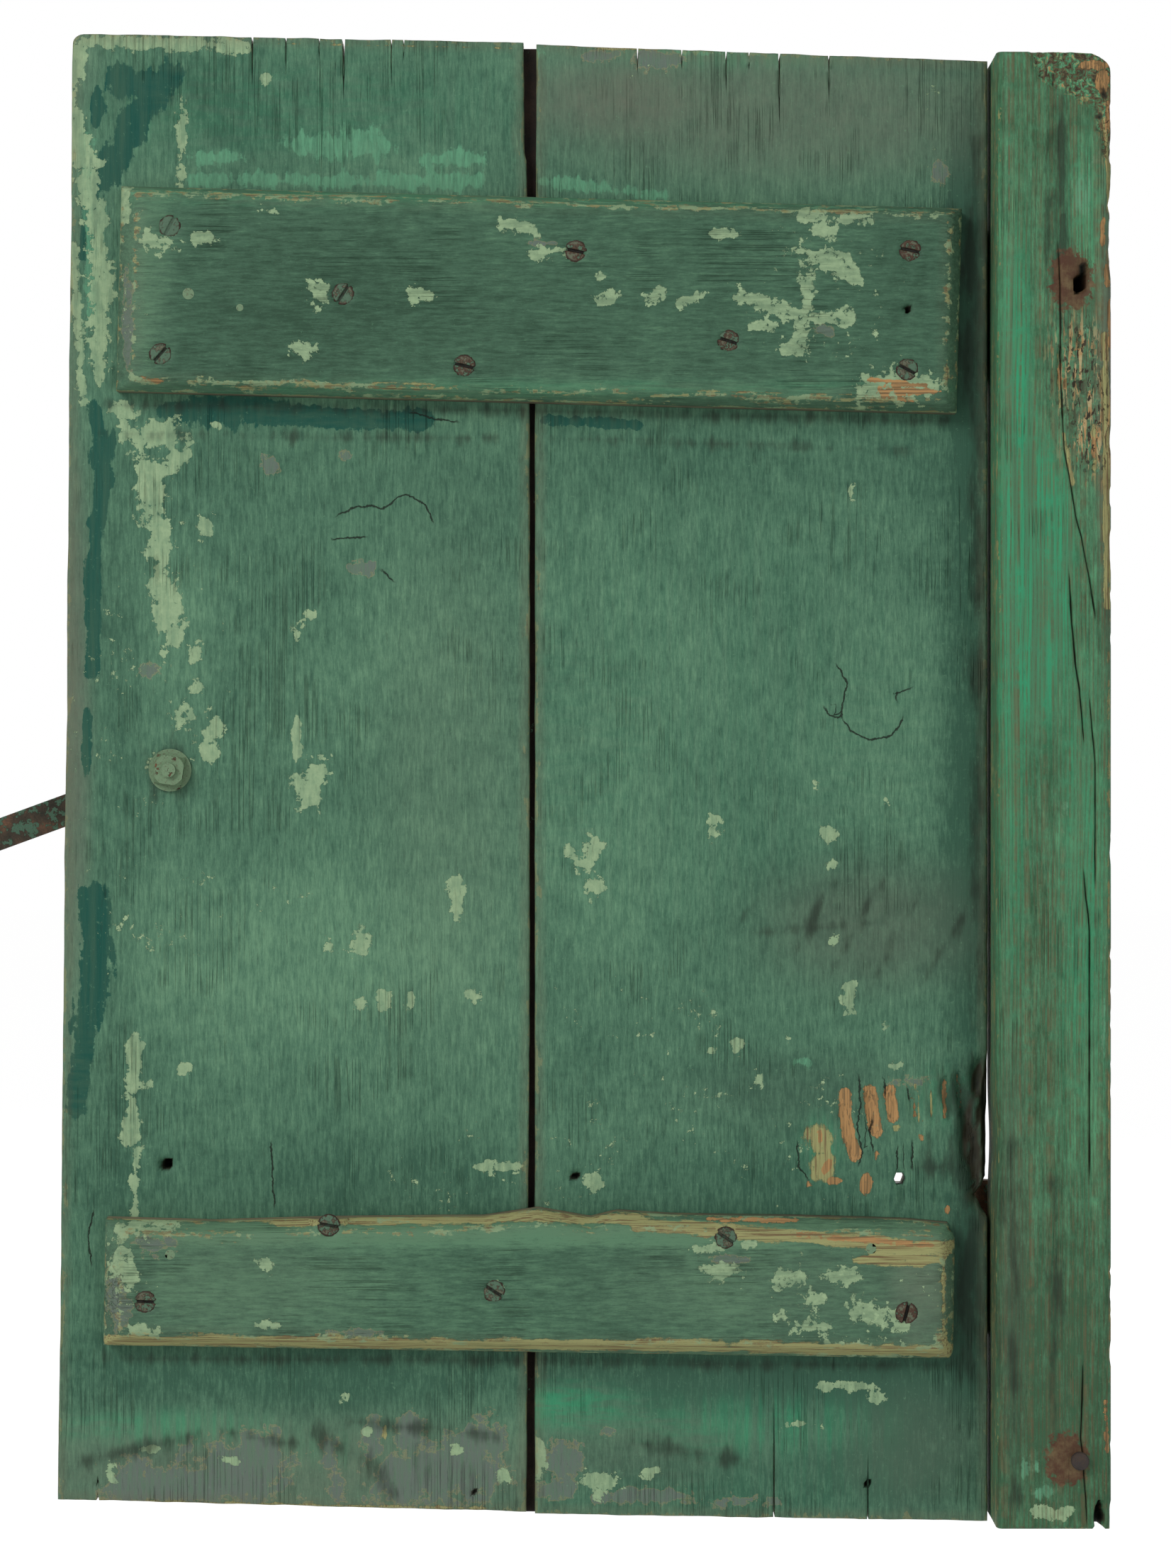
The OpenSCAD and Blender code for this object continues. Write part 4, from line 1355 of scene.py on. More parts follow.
@dataclass
class Board(Timber):
    """A wide upright board whose head and foot slope and split."""

    head: Callable[[Array], Array] = lambda x: x
    foot: Callable[[Array], Array] = lambda x: x
    left: Callable[[Array], Array] = lambda z: z
    right: Callable[[Array], Array] = lambda z: z
    head_splits: tuple[Split, ...] = ()
    foot_splits: tuple[Split, ...] = ()
    rot: Optional[Callable[[Array, Array], Array]] = None
    hole: tuple[float, float, float, float] | None = None
    near_x: Optional[float] = None
    zone_x: float = 0.12
    zone_z: float = 0.14

    def _open_hole(self, x: Array, z: Array) -> Array:
        """Opens two grid cells for the hole that goes right through, and rounds its outline.

        Args:
            x: Places across, changed at the hole.
            z: Places up, changed at the hole.

        Returns:
            True for each opened cell.
        """
        opened = np.zeros((x.shape[0] - 1, x.shape[1] - 1), dtype=bool)
        if self.hole is None:
            return opened
        at_x, at_drop, half_w, half_h = self.hole
        across, drop = self.place_mm(x, z)
        i, j = np.unravel_index(np.hypot(across - at_x + 1.2, drop - at_drop).argmin(), x.shape)
        opened[i - 1:i + 1, j] = True
        for row, reach in ((i - 1, -0.8), (i, 0.0), (i + 1, 0.8)):
            wide = half_w * math.sqrt(1 - reach ** 2)
            x[row, j] = self.ref_x + (at_x - wide) * MM
            x[row, j + 1] = self.ref_x + (at_x + wide) * MM
            z[row, j:j + 2] = self.ref_z - (at_drop - half_h * reach) * MM
        return opened

    def _columns(self, low: Array, high: Array) -> tuple[Array, dict[float, float], dict[float, float]]:
        """Places the columns, three at each split.

        Args:
            low: Lower corner of the board.
            high: Upper corner.

        Returns:
            The columns, and the lengths of head and foot splits by column.
        """
        wanted: list[float] = []
        tips: tuple[dict[float, float], dict[float, float]] = ({}, {})
        for splits, lengths in zip((self.head_splits, self.foot_splits), tips):
            for split in splits:
                x = self.ref_x + split.x * MM
                half = split.width * MM / 2
                wanted += [x - half, x, x + half]
                lengths[x] = split.length * MM
        cols = spaced(float(low[0]), float(high[0]), self.step_x, 5 * MM, wanted)
        return cols, tips[0], tips[1]

    def build(self) -> bpy.types.Object:
        """Carves the board.

        Returns:
            The finished piece.
        """
        low, high = self.box()
        if self.near_x is not None:
            low[0] = self.near_x
        cols, head_tips, foot_tips = self._columns(low, high)
        rows = spaced(float(low[2]), float(high[2]), self.step_z, 5 * MM)
        u = (cols - cols[0]) / (cols[-1] - cols[0])
        v = (rows - rows[0]) / (rows[-1] - rows[0])
        x0, z0 = np.meshgrid(cols, rows)
        edge_l = self.left(rows) + 0.3 * MM * relief(rows, rows * 0, 0.02, 1, self.seed, 3)
        edge_r = self.right(rows) + 0.4 * MM * np.abs(relief(rows, rows * 0 + 5, 0.02, 1, self.seed + 1, 3))
        pull_l = (edge_l - cols[0])[:, None] * (1 - ease(u, 0.0, self.zone_x))[None, :]
        pull_r = (edge_r - cols[-1])[:, None] * ease(u, 1 - self.zone_x, 1.0)[None, :]
        x = x0 + pull_l + pull_r
        head = self.head(x[-1]) + 0.35 * MM * relief(cols, cols * 0, 0.012, 1, self.seed + 2, 3)
        foot = self.foot(x[0]) + 0.35 * MM * relief(cols, cols * 0, 0.012, 1, self.seed + 3, 3)
        groove = np.zeros_like(x)
        for tips, line, sign in ((head_tips, head, -1.0), (foot_tips, foot, 1.0)):
            for at, length in tips.items():
                j = int(np.abs(cols - at).argmin())
                edge = line[j]
                line[j] = edge + sign * length * 0.55
                run = (edge - rows if sign < 0 else rows - edge) / length
                groove[:, j] += 4 * MM * (1 - ease(run, 0.1, 0.5)) * (run > 0)
        head_pull = (head - rows[-1])[None, :] * ease(v, 1 - self.zone_z, 1.0)[:, None]
        foot_pull = (foot - rows[0])[None, :] * (1 - ease(v, 0.0, self.zone_z))[:, None]
        z = z0 + head_pull + foot_pull
        opened = self._open_hole(x, z)

        side = np.minimum(x - x[:, :1], x[:, -1:] - x)
        end = np.minimum(z - foot[None, :], head[None, :] - z)
        end = np.where(groove > 0, 1.0, np.abs(end))
        worn = self.arris * (1 + 0.6 * relief(x, z, 0.03, 0.05, self.seed + 4, 3))
        drop = np.maximum(rounding(side, worn), rounding(end, worn * 0.8))
        grain = 0.10 * MM * relief(x, z, 0.003, 0.12, self.seed + 5, 3)
        wave = 0.30 * MM * relief(x, z, 0.06, 0.25, self.seed + 6, 3)
        cut, deep = self.cuts(x, z)
        decay = self.rot(x, z) if self.rot else np.zeros_like(x)
        y = low[1] + 0.3 * MM + drop + grain + wave + cut + groove + decay
        # Split grooves and rot count as depth, which the finish darkens as rot-brown and painted shade.
        deep = np.maximum(deep, ease(groove, 1 * MM, 4 * MM) * 0.7)
        deep = np.maximum(deep, ease(decay, 0.5 * MM, 8 * MM) * 0.85)
        y = np.minimum(y, high[1] - 1.5 * MM)
        self.rim = np.minimum(side, end)
        front = np.stack([x, y, z], axis=-1)
        back_drop = np.maximum(rounding(side, worn * 0.6), rounding(end, worn * 0.6))
        saw = 0.12 * MM * relief(x, z, 0.05, 0.004, self.seed + 8, 2)
        back = np.stack([x, high[1] - 0.15 * MM - back_drop + saw * (end > 0.01), z], axis=-1)
        carved = CarvedFace(front, back, self.paint_layers(x, z, deep), opened)
        return self.stand_in(carved.build(self.node + "_timber", 2.6 * MM, 0.1 * MM))


@dataclass
class Ledge(Timber):
    """A level ledge with bevelled edges, worn round at its arrises."""

    top: Callable[[Array], Array] = lambda x: x
    bottom: Callable[[Array], Array] = lambda x: x
    left: Callable[[Array], Array] = lambda z: z
    right: Callable[[Array], Array] = lambda z: z
    bevel_top: float = 5 * MM
    bevel_bottom: float = 5.5 * MM
    bevel_left: float = 10 * MM
    bevel_right: float = 7.5 * MM
    bevel_depth: float = 9 * MM
    seats: tuple["Head", ...] = ()

    def build(self) -> bpy.types.Object:
        """Carves the ledge.

        Returns:
            The finished piece.
        """
        low, high = self.box()
        cols = spaced(float(low[0]), float(high[0]), self.step_x, 14 * MM)
        rows = spaced(float(low[2]), float(high[2]), self.step_z, 12 * MM)
        u = ((cols - cols[0]) / (cols[-1] - cols[0]))[None, :]
        v = ((rows - rows[0]) / (rows[-1] - rows[0]))[:, None]
        top = self.top(cols)[None, :]
        bottom = self.bottom(cols)[None, :]
        z = bottom + (top - bottom) * v
        left, right = self.left(rows)[:, None], self.right(rows)[:, None]
        x = left + (right - left) * u
        nick = 0.4 * MM * relief(x, z, 0.015, 0.02, self.seed, 3)
        edges = (
            (x - left, self.bevel_left), (right - x, self.bevel_right),
            (z - bottom, self.bevel_bottom), (top - z, self.bevel_top),
        )
        fall = np.zeros(x.shape)
        soft = 1.2 * MM
        for distance, width in edges:
            uneven = width * (1 + 0.12 * relief(x, z, 0.07, 0.05, self.seed + 1, 3))
            slope = self.bevel_depth * (1 - distance / uneven)
            fall = 0.5 * (fall + slope + np.sqrt((fall - slope) ** 2 + soft ** 2)) - soft * 0.12
        fall = np.clip(fall, 0, None)
        across, drop = self.place_mm(x, z)
        for seat in self.seats:
            away = np.hypot(across - seat.x, drop - seat.drop) - 7.5
            fall = np.minimum(fall, (0.6 + 1.6 * np.clip(away, 0, None)) * MM)
        rim = np.minimum(np.minimum(edges[0][0], edges[1][0]), np.minimum(edges[2][0], edges[3][0]))
        fall = fall + rounding(rim, np.full(x.shape, 1.2 * MM))
        grain = 0.10 * MM * relief(x, z, 0.12, 0.0028, self.seed + 2, 3)
        wave = 0.25 * MM * relief(x, z, 0.12, 0.03, self.seed + 3, 3)
        cut, deep = self.cuts(x, z)
        y = low[1] + 0.15 * MM + fall + grain + wave + nick * 0.4 + cut
        y = np.clip(y, low[1], high[1] - 2 * MM)
        inner = np.minimum(np.minimum(edges[0][0] - edges[0][1], edges[1][0] - edges[1][1]),
                           np.minimum(edges[2][0] - edges[2][1], edges[3][0] - edges[3][1]))
        self.rim = np.minimum(np.abs(inner), np.abs(rim) + 0.5 * MM)
        front = np.stack([x, y, z], axis=-1)
        back = np.stack([x, np.full_like(x, high[1]), z], axis=-1)
        carved = CarvedFace(front, back, self.paint_layers(x, z, deep))
        return self.stand_in(carved.build(self.node + "_timber", 2.0 * MM, 0.3 * MM))


@dataclass(frozen=True)
class Shake:
    """A long drying crack down the post, as a path in millimetres from the reference corner."""

    path: tuple[tuple[float, float], ...]
    open_from: tuple[float, ...]
    open_to: tuple[float, ...]
    depth: float = 3.0


@dataclass
class Post(Timber):
    """The thick hanging post with round arrises, long shakes and a rotted head."""

    inner_round: float = 9 * MM
    outer_round: float = 5 * MM
    hollow_z: float = -0.481
    hollow_half: float = 0.022
    hollow_depth: float = 1.1 * MM
    shakes: tuple[Shake, ...] = ()

    def _shake_columns(self, rows: Array, low: Array, high: Array) -> tuple[Array, Array, list[Array]]:
        """Makes columns that follow the shakes.

        Args:
            rows: Height of each row.
            low: Lower corner of the post.
            high: Upper corner.

        Returns:
            Straight columns, their places row by row, and each shake's column numbers.
        """
        keep = 3.2 * MM
        inner, outer = float(low[0]) + 0.010, float(high[0]) - 0.006
        at_rest = np.linspace(inner, outer, len(self.shakes) + 2)[1:-1]
        gaps = (-0.9 * MM, -0.35 * MM, 0.0, 0.35 * MM, 0.9 * MM)
        wanted = [x + g for x in at_rest for g in gaps]
        cols = spaced(float(low[0]), float(high[0]), self.step_x, 9 * MM, wanted)
        paths = []
        limit = np.full(rows.shape, inner)
        for shake in self.shakes:
            drops = np.array([p[1] for p in shake.path])
            xs = np.array([p[0] for p in shake.path]) * MM + self.ref_x
            path = np.interp((self.ref_z - rows) / MM, drops, xs)
            path = path + 0.5 * MM * relief(rows, rows * 0, 0.018, 1, self.seed + 31, 3)
            limit = np.maximum(path, limit + keep)
            limit = np.minimum(limit, outer - keep * (len(self.shakes) - len(paths)))
            paths.append(limit.copy())
        x = np.empty((len(rows), len(cols)))
        for i in range(len(rows)):
            rest: list[float] = [float(cols[0]), inner]
            real: list[float] = [float(cols[0]), inner]
            for centre, path in zip(at_rest, paths):
                rest += [centre - 0.9 * MM, centre + 0.9 * MM]
                real += [float(path[i]) - 0.9 * MM, float(path[i]) + 0.9 * MM]
            rest += [outer, float(cols[-1])]
            real += [outer, float(cols[-1])]
            x[i] = np.interp(cols, rest, real)
        numbers = [np.array([int(np.abs(cols - (c + g)).argmin()) for g in gaps]) for c in at_rest]
        return cols, x, numbers

    def build(self) -> bpy.types.Object:
        """Carves the post.

        Returns:
            The finished piece.
        """
        low, high = self.box()
        rows = spaced(float(low[2]), float(high[2]), self.step_z, 6 * MM)
        _, x, shake_cols = self._shake_columns(rows, low, high)
        z = np.repeat(rows[:, None], x.shape[1], axis=1)
        across, drop = self.place_mm(x, z)
        left = float(low[0]) + self._hollow(z)
        right = float(high[0]) - self._bites(z)
        span = (x - low[0]) / (high[0] - low[0])
        x = x + (left - low[0]) * (1 - ease(span, 0, 0.25)) + (right - high[0]) * ease(span, 0.75, 1.0)
        z = z - self._head_loss(x) * ease((z - low[2]) / (high[2] - low[2]), 0.9, 1.0)
        z = z + self._foot_loss(x) * (1 - ease((z - low[2]) / (high[2] - low[2]), 0.0, 0.06))

        from_left, from_right = x - x[:, :1], x[:, -1:] - x
        top_line = high[2] - self._head_loss(x)
        end = np.minimum(z - (low[2] + self._foot_loss(x)), top_line - z)
        wobble = 1 + 0.12 * relief(z, z * 0, 0.09, 1, self.seed + 3, 3)
        fall = rounding(from_left, self.inner_round * wobble)
        fall = np.maximum(fall, rounding(from_right, self.outer_round * wobble))
        fall = np.maximum(fall, rounding(np.abs(end), np.full(x.shape, 3.0 * MM)))
        grain = 0.16 * MM * relief(x, z, 0.0022, 0.16, self.seed + 5, 3)
        wave = 0.35 * MM * relief(x, z, 0.03, 0.2, self.seed + 6, 3)
        cut, deep = self.cuts(x, z)
        rot, rot_deep, crumbled = self._decay(across, drop)
        groove = np.zeros_like(x)
        profile = np.array([0.0, 0.35, 1.0, 0.35, 0.0])
        for shake, numbers in zip(self.shakes, shake_cols):
            opened = np.zeros(x.shape[0])
            down = drop[:, numbers[2]]
            for start, stop in zip(shake.open_from, shake.open_to):
                closing = 1 - ease(down, stop - 14, stop + 6)
                opened = np.maximum(opened, ease(down, start - 6, start + 14) * closing)
            opened = opened * (0.75 + 0.25 * relief(down, down * 0, 9, 1, self.seed + 9, 2))
            groove[:, numbers] += shake.depth * MM * opened[:, None] * profile[None, :]
        y = low[1] + 0.3 * MM + fall + grain + wave + cut + rot + groove
        deep = np.maximum(np.maximum(deep, rot_deep), ease(groove, 0.4 * MM, 1.8 * MM))
        y = np.clip(y, low[1], high[1] - 2 * MM)
        self.rim = np.minimum(np.minimum(from_left, from_right), np.abs(end)) + 1.5 * MM
        front = np.stack([x, y, z], axis=-1)
        back_fall = np.maximum(rounding(np.minimum(from_left, from_right), np.full(x.shape, 1.2 * MM)),
                               rounding(np.abs(end), np.full(x.shape, 1.2 * MM)))
        back = np.stack([x, high[1] - back_fall, z], axis=-1)
        layers = self.paint_layers(x, z, deep)
        layers["decay"] = crumbled
        layers["bare_side"] = (span > 0.5).astype(float)
        carved = CarvedFace(front, back, layers)
        return self.stand_in(carved.build(self.node + "_timber", 2.6 * MM, 0.12 * MM))

    def _hollow(self, z: Array) -> Array:
        """Gives how far the inner arris is worn back."""
        return self.hollow_depth * np.exp(-((z - self.hollow_z) / self.hollow_half) ** 2)

    def _bites(self, z: Array) -> Array:
        """Gives the small bites out of the outer edge.

        Args:
            z: Height of each point.

        Returns:
            How deep they are.
        """
        drop = (self.ref_z - z) / MM
        bites = 0.7 * MM * ease(relief(z, z * 0, 0.011, 1, self.seed + 12, 3), 0.1, 0.7)
        upper = 2.2 * MM * (1 - ease(np.abs(drop + 30), 10, 32))
        return bites + upper * (0.6 + 0.4 * relief(z, z * 0, 0.006, 1, self.seed + 13, 2))

    def _head_loss(self, x: Array) -> Array:
        """Gives how much of the head is lost, most at the outer corner.

        Args:
            x: Place of each point from left to right.

        Returns:
            How far the head is lowered.
        """
        start, reach = 2 * MM, 16 * MM
        run = np.clip((x - start) / reach, 0.0, 1.0)
        rough = 0.8 * MM * relief(x, x * 0, 0.006, 1, self.seed + 14, 2) * ease(x, -0.03, 0.0)
        return 13 * MM * (1 - np.sqrt(1 - run ** 2 * 0.96)) + np.clip(rough, 0, None)

    def _foot_loss(self, x: Array) -> Array:
        """Gives the worm-eaten notch in the foot."""
        return 1.5 * MM * (1 - ease(np.abs(x - 0.011), 0.0022, 0.0036))

    def _decay(self, across: Array, drop: Array) -> tuple[Array, Array, Array]:
        """Carves the rotted head corner and the worm-eaten strip.

        Args:
            across: Millimetres from the fixing hole's axis.
            drop: Millimetres below it.

        Returns:
            Depth of the decay, how dark it turns as rot and painted shade, and the share of crumbled wood.
        """
        rim = np.interp(across, [-30, -25, -23, -17, -10, -3, 3.5, 10, 13, 18],
                        [-131, -122, -114, -108, -106, -102, -98, -97, -72, -67])
        rim = rim + 1.2 * relief(across, drop, 3.0, 5.0, self.seed + 19, 3)
        corner = ease(rim - drop, 0.0, 2.2)
        corner_cut = corner * (2.4 + 3.2 * relief(across, drop, 3.6, 7.0, self.seed + 20, 4)) * MM
        strip = 1 - ease(Blot(3, 64, 15, 45, -8).distance(across, drop), -5, 2)
        worm = ease(relief(across, drop, 1.7, 8.0, self.seed + 21, 2), 0.18, 0.5)
        strip_cut = strip * (0.4 + 2.2 * worm) * MM
        deep = np.maximum(corner * ease(corner_cut, 2.8 * MM, 4.2 * MM), strip * worm * 0.3)
        return np.clip(corner_cut, 0, None) + strip_cut, deep, np.maximum(corner, 0.35 * strip)


# --- Ironwork ---


@dataclass(frozen=True)
class Head:
    """A slotted screw head on a ledge, in millimetres from the reference corner."""

    x: float
    drop: float
    slot_turn: float
    filled: float
    rusty: float
    seat_radius: float = 5.6
    seat_depth: float = 2.8

    @classmethod
    def rows(cls, *rows: tuple[float, ...]) -> tuple["Head", ...]:
        """Makes one head from each row of numbers."""
        return tuple(cls(*row) for row in rows)

    def seat(self) -> Pit:
        """Gives the sink that the head lies in."""
        return Pit(self.x, self.drop, self.seat_radius, self.seat_radius, self.seat_depth, wall=1.4)


UPPER_HEADS = Head.rows(
    (-201.1, 112.1, 62, 0.8, 0.2), (-206.2, 183.7, 48, 0.4, 0.4), (-104.0, 150.0, 57, 0.5, 0.5),
    (-36.2, 190.2, -13, 0.3, 0.7), (26.0, 126.0, -12, 0.2, 0.8), (111.6, 176.3, -18, 0.3, 0.7),
    (213.1, 125.6, -12, 0.3, 0.9), (211.5, 192.2, -28, 0.3, 0.5),
)
LOWER_HEADS = Head.rows(
    (-112.0, 670.9, -10, 0.4, 0.6), (-214.7, 713.7, -2, 0.3, 0.6), (-19.6, 707.8, -32, 0.4, 0.5),
    (110.0, 677.8, -33, 0.5, 0.5), (211.1, 720.0, 75, 0.0, 0.9),
)


@dataclass
class LedgeScrews:
    """The countersunk screws of one ledge, turned from a profile and slotted."""

    node: str
    heads: tuple[Head, ...]
    ref_x: float
    ref_z: float
    radius: float = 6.3 * MM
    slot_w: float = 1.7 * MM
    slot_depth: float = 1.8 * MM
    steps: int = 72

    def _profile(self, low_y: float, high_y: float) -> tuple[Array, Array]:
        """Draws the screw's outline from the middle of its head to its tip.

        Args:
            low_y: Front of the head.
            high_y: The tip.

        Returns:
            Radii and places along Y.
        """
        head = np.linspace(0.0, 1.0, 20) ** 0.9
        dome = low_y + 0.1 * MM + 0.5 * MM * head ** 4
        radii = list(head * self.radius) + [self.radius * 0.995, 0.0042, 0.0027, 0.0027, 0.0016, 0.0002]
        depths = list(dome) + [low_y + 1.3 * MM, low_y + 3.4 * MM, low_y + 5.0 * MM, high_y - 8 * MM,
                               high_y - 2 * MM, high_y]
        return np.array(radii), np.array(depths)

    def build(self) -> bpy.types.Object:
        """Turns all screws of the ledge.

        Returns:
            The finished piece.
        """
        low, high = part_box(self.node)
        radii, depths = self._profile(float(low.y), float(high.y))
        turn = np.linspace(0, 2 * math.pi, self.steps, endpoint=False)
        points, faces, marks = [], [], []
        rows = len(radii)
        quads = self._quads(rows)
        for k, head in enumerate(self.heads):
            cx, cz = self.ref_x + head.x * MM, self.ref_z - head.drop * MM
            r = radii[:, None] * (1 + 0.02 * relief(turn * 3, turn * 0 + k, 1.0, 1.0, 300, 2))[None, :]
            dx, dz = r * np.cos(turn)[None, :], r * np.sin(turn)[None, :]
            slot = math.radians(head.slot_turn)
            off = dz * math.cos(slot) - dx * math.sin(slot)
            on_head = (np.arange(rows) < 20)[:, None]
            dig = (1 - ease(np.abs(off), self.slot_w * 0.32, self.slot_w * 0.62)) * on_head
            pits = 0.12 * MM * relief(dx / MM, dz / MM, 1.4, 1.4, 310 + k, 3) * on_head
            y = depths[:, None] + dig * self.slot_depth * (1 - 0.75 * head.filled) + pits
            points.append(np.stack([cx + dx, y, cz + dz], axis=-1).reshape(-1, 3))
            faces.append(quads + k * rows * self.steps)
            mark = [np.clip(r / self.radius, 0, 1), dig * (1 - head.filled), np.full(r.shape, head.rusty)]
            marks.append(np.stack(mark, axis=-1).reshape(-1, 3))
        piece = new_mesh(self.node + "_turned", np.concatenate(points), np.concatenate(faces))
        store_layer(piece, "head", np.concatenate(marks))
        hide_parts(self.node)
        return hand_over(piece, ScrewFinish(), "leaf")

    def _quads(self, rows: int) -> Array:
        """Lists the faces of one turned screw, looking outwards.

        Args:
            rows: Number of rings.

        Returns:
            Corners of each face.
        """
        i, j = np.meshgrid(np.arange(rows - 1), np.arange(self.steps), indexing="ij")
        near, far = i * self.steps + j, i * self.steps + (j + 1) % self.steps
        return np.stack([near, far, far + self.steps, near + self.steps], axis=-1).reshape(-1, 4)


@dataclass
class JointTongue:
    """The right board's tongue, which closes the open joint from behind; its near-black colour is painted
    shade for the gap.
    """

    reach: float = 9.5 * MM
    root: float = 5.0 * MM
    thickness: float = 8.0 * MM
    below_head: float = 0.8 * MM

    def build(self) -> bpy.types.Object:
        """Carves the tongue.

        Returns:
            The finished piece, which rides with its board.
        """
        low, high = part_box("right_board")
        left, right = float(low.x), float(low.x) + self.reach + self.root
        mid_y = (low.y + high.y) / 2
        cols, rows = spaced(left, right, 1.5 * MM, 1 * MM), spaced(0.0, 1.0, 0.004, 0.004)
        x, v = np.meshgrid(cols, rows)
        foot = low.z + (high.x - right) * slope(0.9) + 0.5 * MM
        head = high.z - self.below_head - 0.9 * MM
        z = foot + (head - foot) * v
        rough = 0.3 * MM * relief(x, z, 0.002, 0.05, 91, 3)
        front = np.stack([x, np.full_like(x, mid_y - self.thickness / 2) + np.abs(rough), z], axis=-1)
        back = np.stack([x, np.full_like(x, mid_y + self.thickness / 2) - np.abs(rough), z], axis=-1)
        carved = CarvedFace(front, back, {"grime_and_shade": np.zeros(x.shape)})
        piece = carved.build("right_board_tongue", 2 * MM, 0.2 * MM)
        # The tongue is coloured near black as painted shade in the gap between the boards.
        tongue_shade = JointShadeWood("joint_shade_wood", shade("0f0c08"), shade("20160f"), shade("33241a"))
        return hand_over(piece, tongue_shade, "leaf")


@dataclass
class Ironwork:
    """The kept iron nodes and their finish."""

    plain: tuple[str, ...] = (
        "upper_strap", "lower_strap", "upper_post_plate", "lower_post_plate", "upper_hinge_pin",
        "lower_hinge_pin", "strap_screws", "post_plate_screws",
    )
    coat: float = 0.85
    overpainted: tuple[str, ...] = ("latch_washer", "latch_nut", "latch_bolt", "ledge_nails")
    spike: tuple[str, ...] = ("post_spike",)
    bar: tuple[str, ...] = ("latch_bar",)

    def dress(self) -> None:
        """Gives each kept node its finish."""
        rust = RustyIron("rusty_iron")
        coated = RustyIron("painted_iron", paint=shade("6c8767"), painted=self.coat)
        bare = RustyIron("bare_iron", shade("201d1a"), shade("383230"), shade("4a3b30"), painted=0.0)
        handled = RustyIron("latch_iron", shade("27261d"), shade("3f3529"), shade("74503a"),
                            shade("3c5c48"), painted=0.45)
        dressed = ((self.plain, rust), (self.overpainted, coated), (self.spike, bare), (self.bar, handled))
        for names, look in dressed:
            for name in names:
                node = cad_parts[name]
                node.data.materials.clear()
                node.data.materials.append(finish(look))
                LOG.info("%s: %s", name, look.name)


# --- Studio ---


@dataclass
class Studio:
    """Floor, daylight and camera for a straight front view."""

    distance: float = 2.4
    view_height: float = 0.8848
    centre: tuple[float, float] = (-0.2744, -0.2788)
    floor_drop: float = 0.25
    floor_glow: float = 1.16
    sky_strength: float = 0.4

    def floor(self) -> None:
        """Lays a pale floor below the door, white to the camera and still able to take a shadow."""
        level = CAD_BOX[0][2] - self.floor_drop
        bpy.ops.mesh.primitive_plane_add(size=40, location=(0, 0, level))
        ground = bpy.context.object
        ground.name = "floor"
        net = Wiring.of_material("floor_white")
        rays = net.new("ShaderNodeLightPath")
        seen = net.math("MAXIMUM", rays.outputs["Is Camera Ray"], net.math(
            "MAXIMUM", rays.outputs["Is Glossy Ray"], rays.outputs["Is Transmission Ray"]))
        diffuse = net.new("ShaderNodeBsdfDiffuse", {"Color": (0.82, 0.82, 0.81)})
        glow = net.new("ShaderNodeEmission", {"Strength": self.floor_glow})
        net.close_with_two(net.times(seen, 0.8), diffuse.outputs[0], glow.outputs[0])
        ground.data.materials.append(net.owner)

    def light(self) -> None:
        """Hangs a wide soft lamp to the upper left and fills the rest from a pale sky."""
        world = bpy.data.worlds.new("pale_sky")
        bpy.context.scene.world = world
        net = Wiring(world)
        rays = net.new("ShaderNodeLightPath").outputs
        sky, white = net.new("ShaderNodeBackground"), net.new("ShaderNodeBackground")
        for light, strength in ((sky, self.sky_strength), (white, 1.0)):
            net.feed(light.inputs["Color"], (1.0, 1.0, 1.0))
            net.feed(light.inputs["Strength"], strength)
        seen = net.math("MAXIMUM", rays["Is Camera Ray"], rays["Is Transmission Ray"])
        net.close_with_two(seen, sky.outputs[0], white.outputs[0])
        self._lamp("key", (-3.0, -3.9, 2.2), 2.1, 135.0)
        self._lamp("fill", (2.4, -4.0, -0.4), 2.4, 34.0)
        self._lamp("behind", (1.4, 4.2, 1.6), 2.6, 110.0)

    def _lamp(self, name: str, place: tuple[float, float, float], size: float, power: float) -> None:
        """Hangs one square lamp that looks at the middle of the door.

        Args:
            name: Name of the lamp.
            place: Where it hangs.
            size: Length of its sides.
            power: Strength in watts.
        """
        data = bpy.data.lights.new(name, "AREA")
        data.size = size
        data.energy = power
        lamp = bpy.data.objects.new(name, data)
        lamp.location = place
        target = np.array([self.centre[0], 0.0, self.centre[1]]) - np.array(place)
        lamp.rotation_euler = tuple(Vector(target).to_track_quat("-Z", "Y").to_euler())
        bpy.context.scene.collection.objects.link(lamp)

    def camera(self) -> None:
        """Sets the camera square to the boards' front."""
        data = bpy.data.cameras.new("front_view")
        data.sensor_fit = "VERTICAL"
        data.sensor_height = 24.0
        data.lens = data.sensor_height * self.distance / self.view_height
        view = bpy.data.objects.new("front_view", data)
        plane = float(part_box("left_board")[0].y)
        view.location = (self.centre[0], plane - self.distance, self.centre[1])
        view.rotation_euler = (math.pi / 2, 0.0, 0.0)
        bpy.context.scene.collection.objects.link(view)
        bpy.context.scene.camera = view
        bpy.context.scene.view_settings.view_transform = "Standard"

    def build(self) -> None:
        """Sets up everything round the door."""
        self.camera()
        self.light()
        self.floor()


# --- The marks on each timber, in millimetres across and down from its reference corner ---

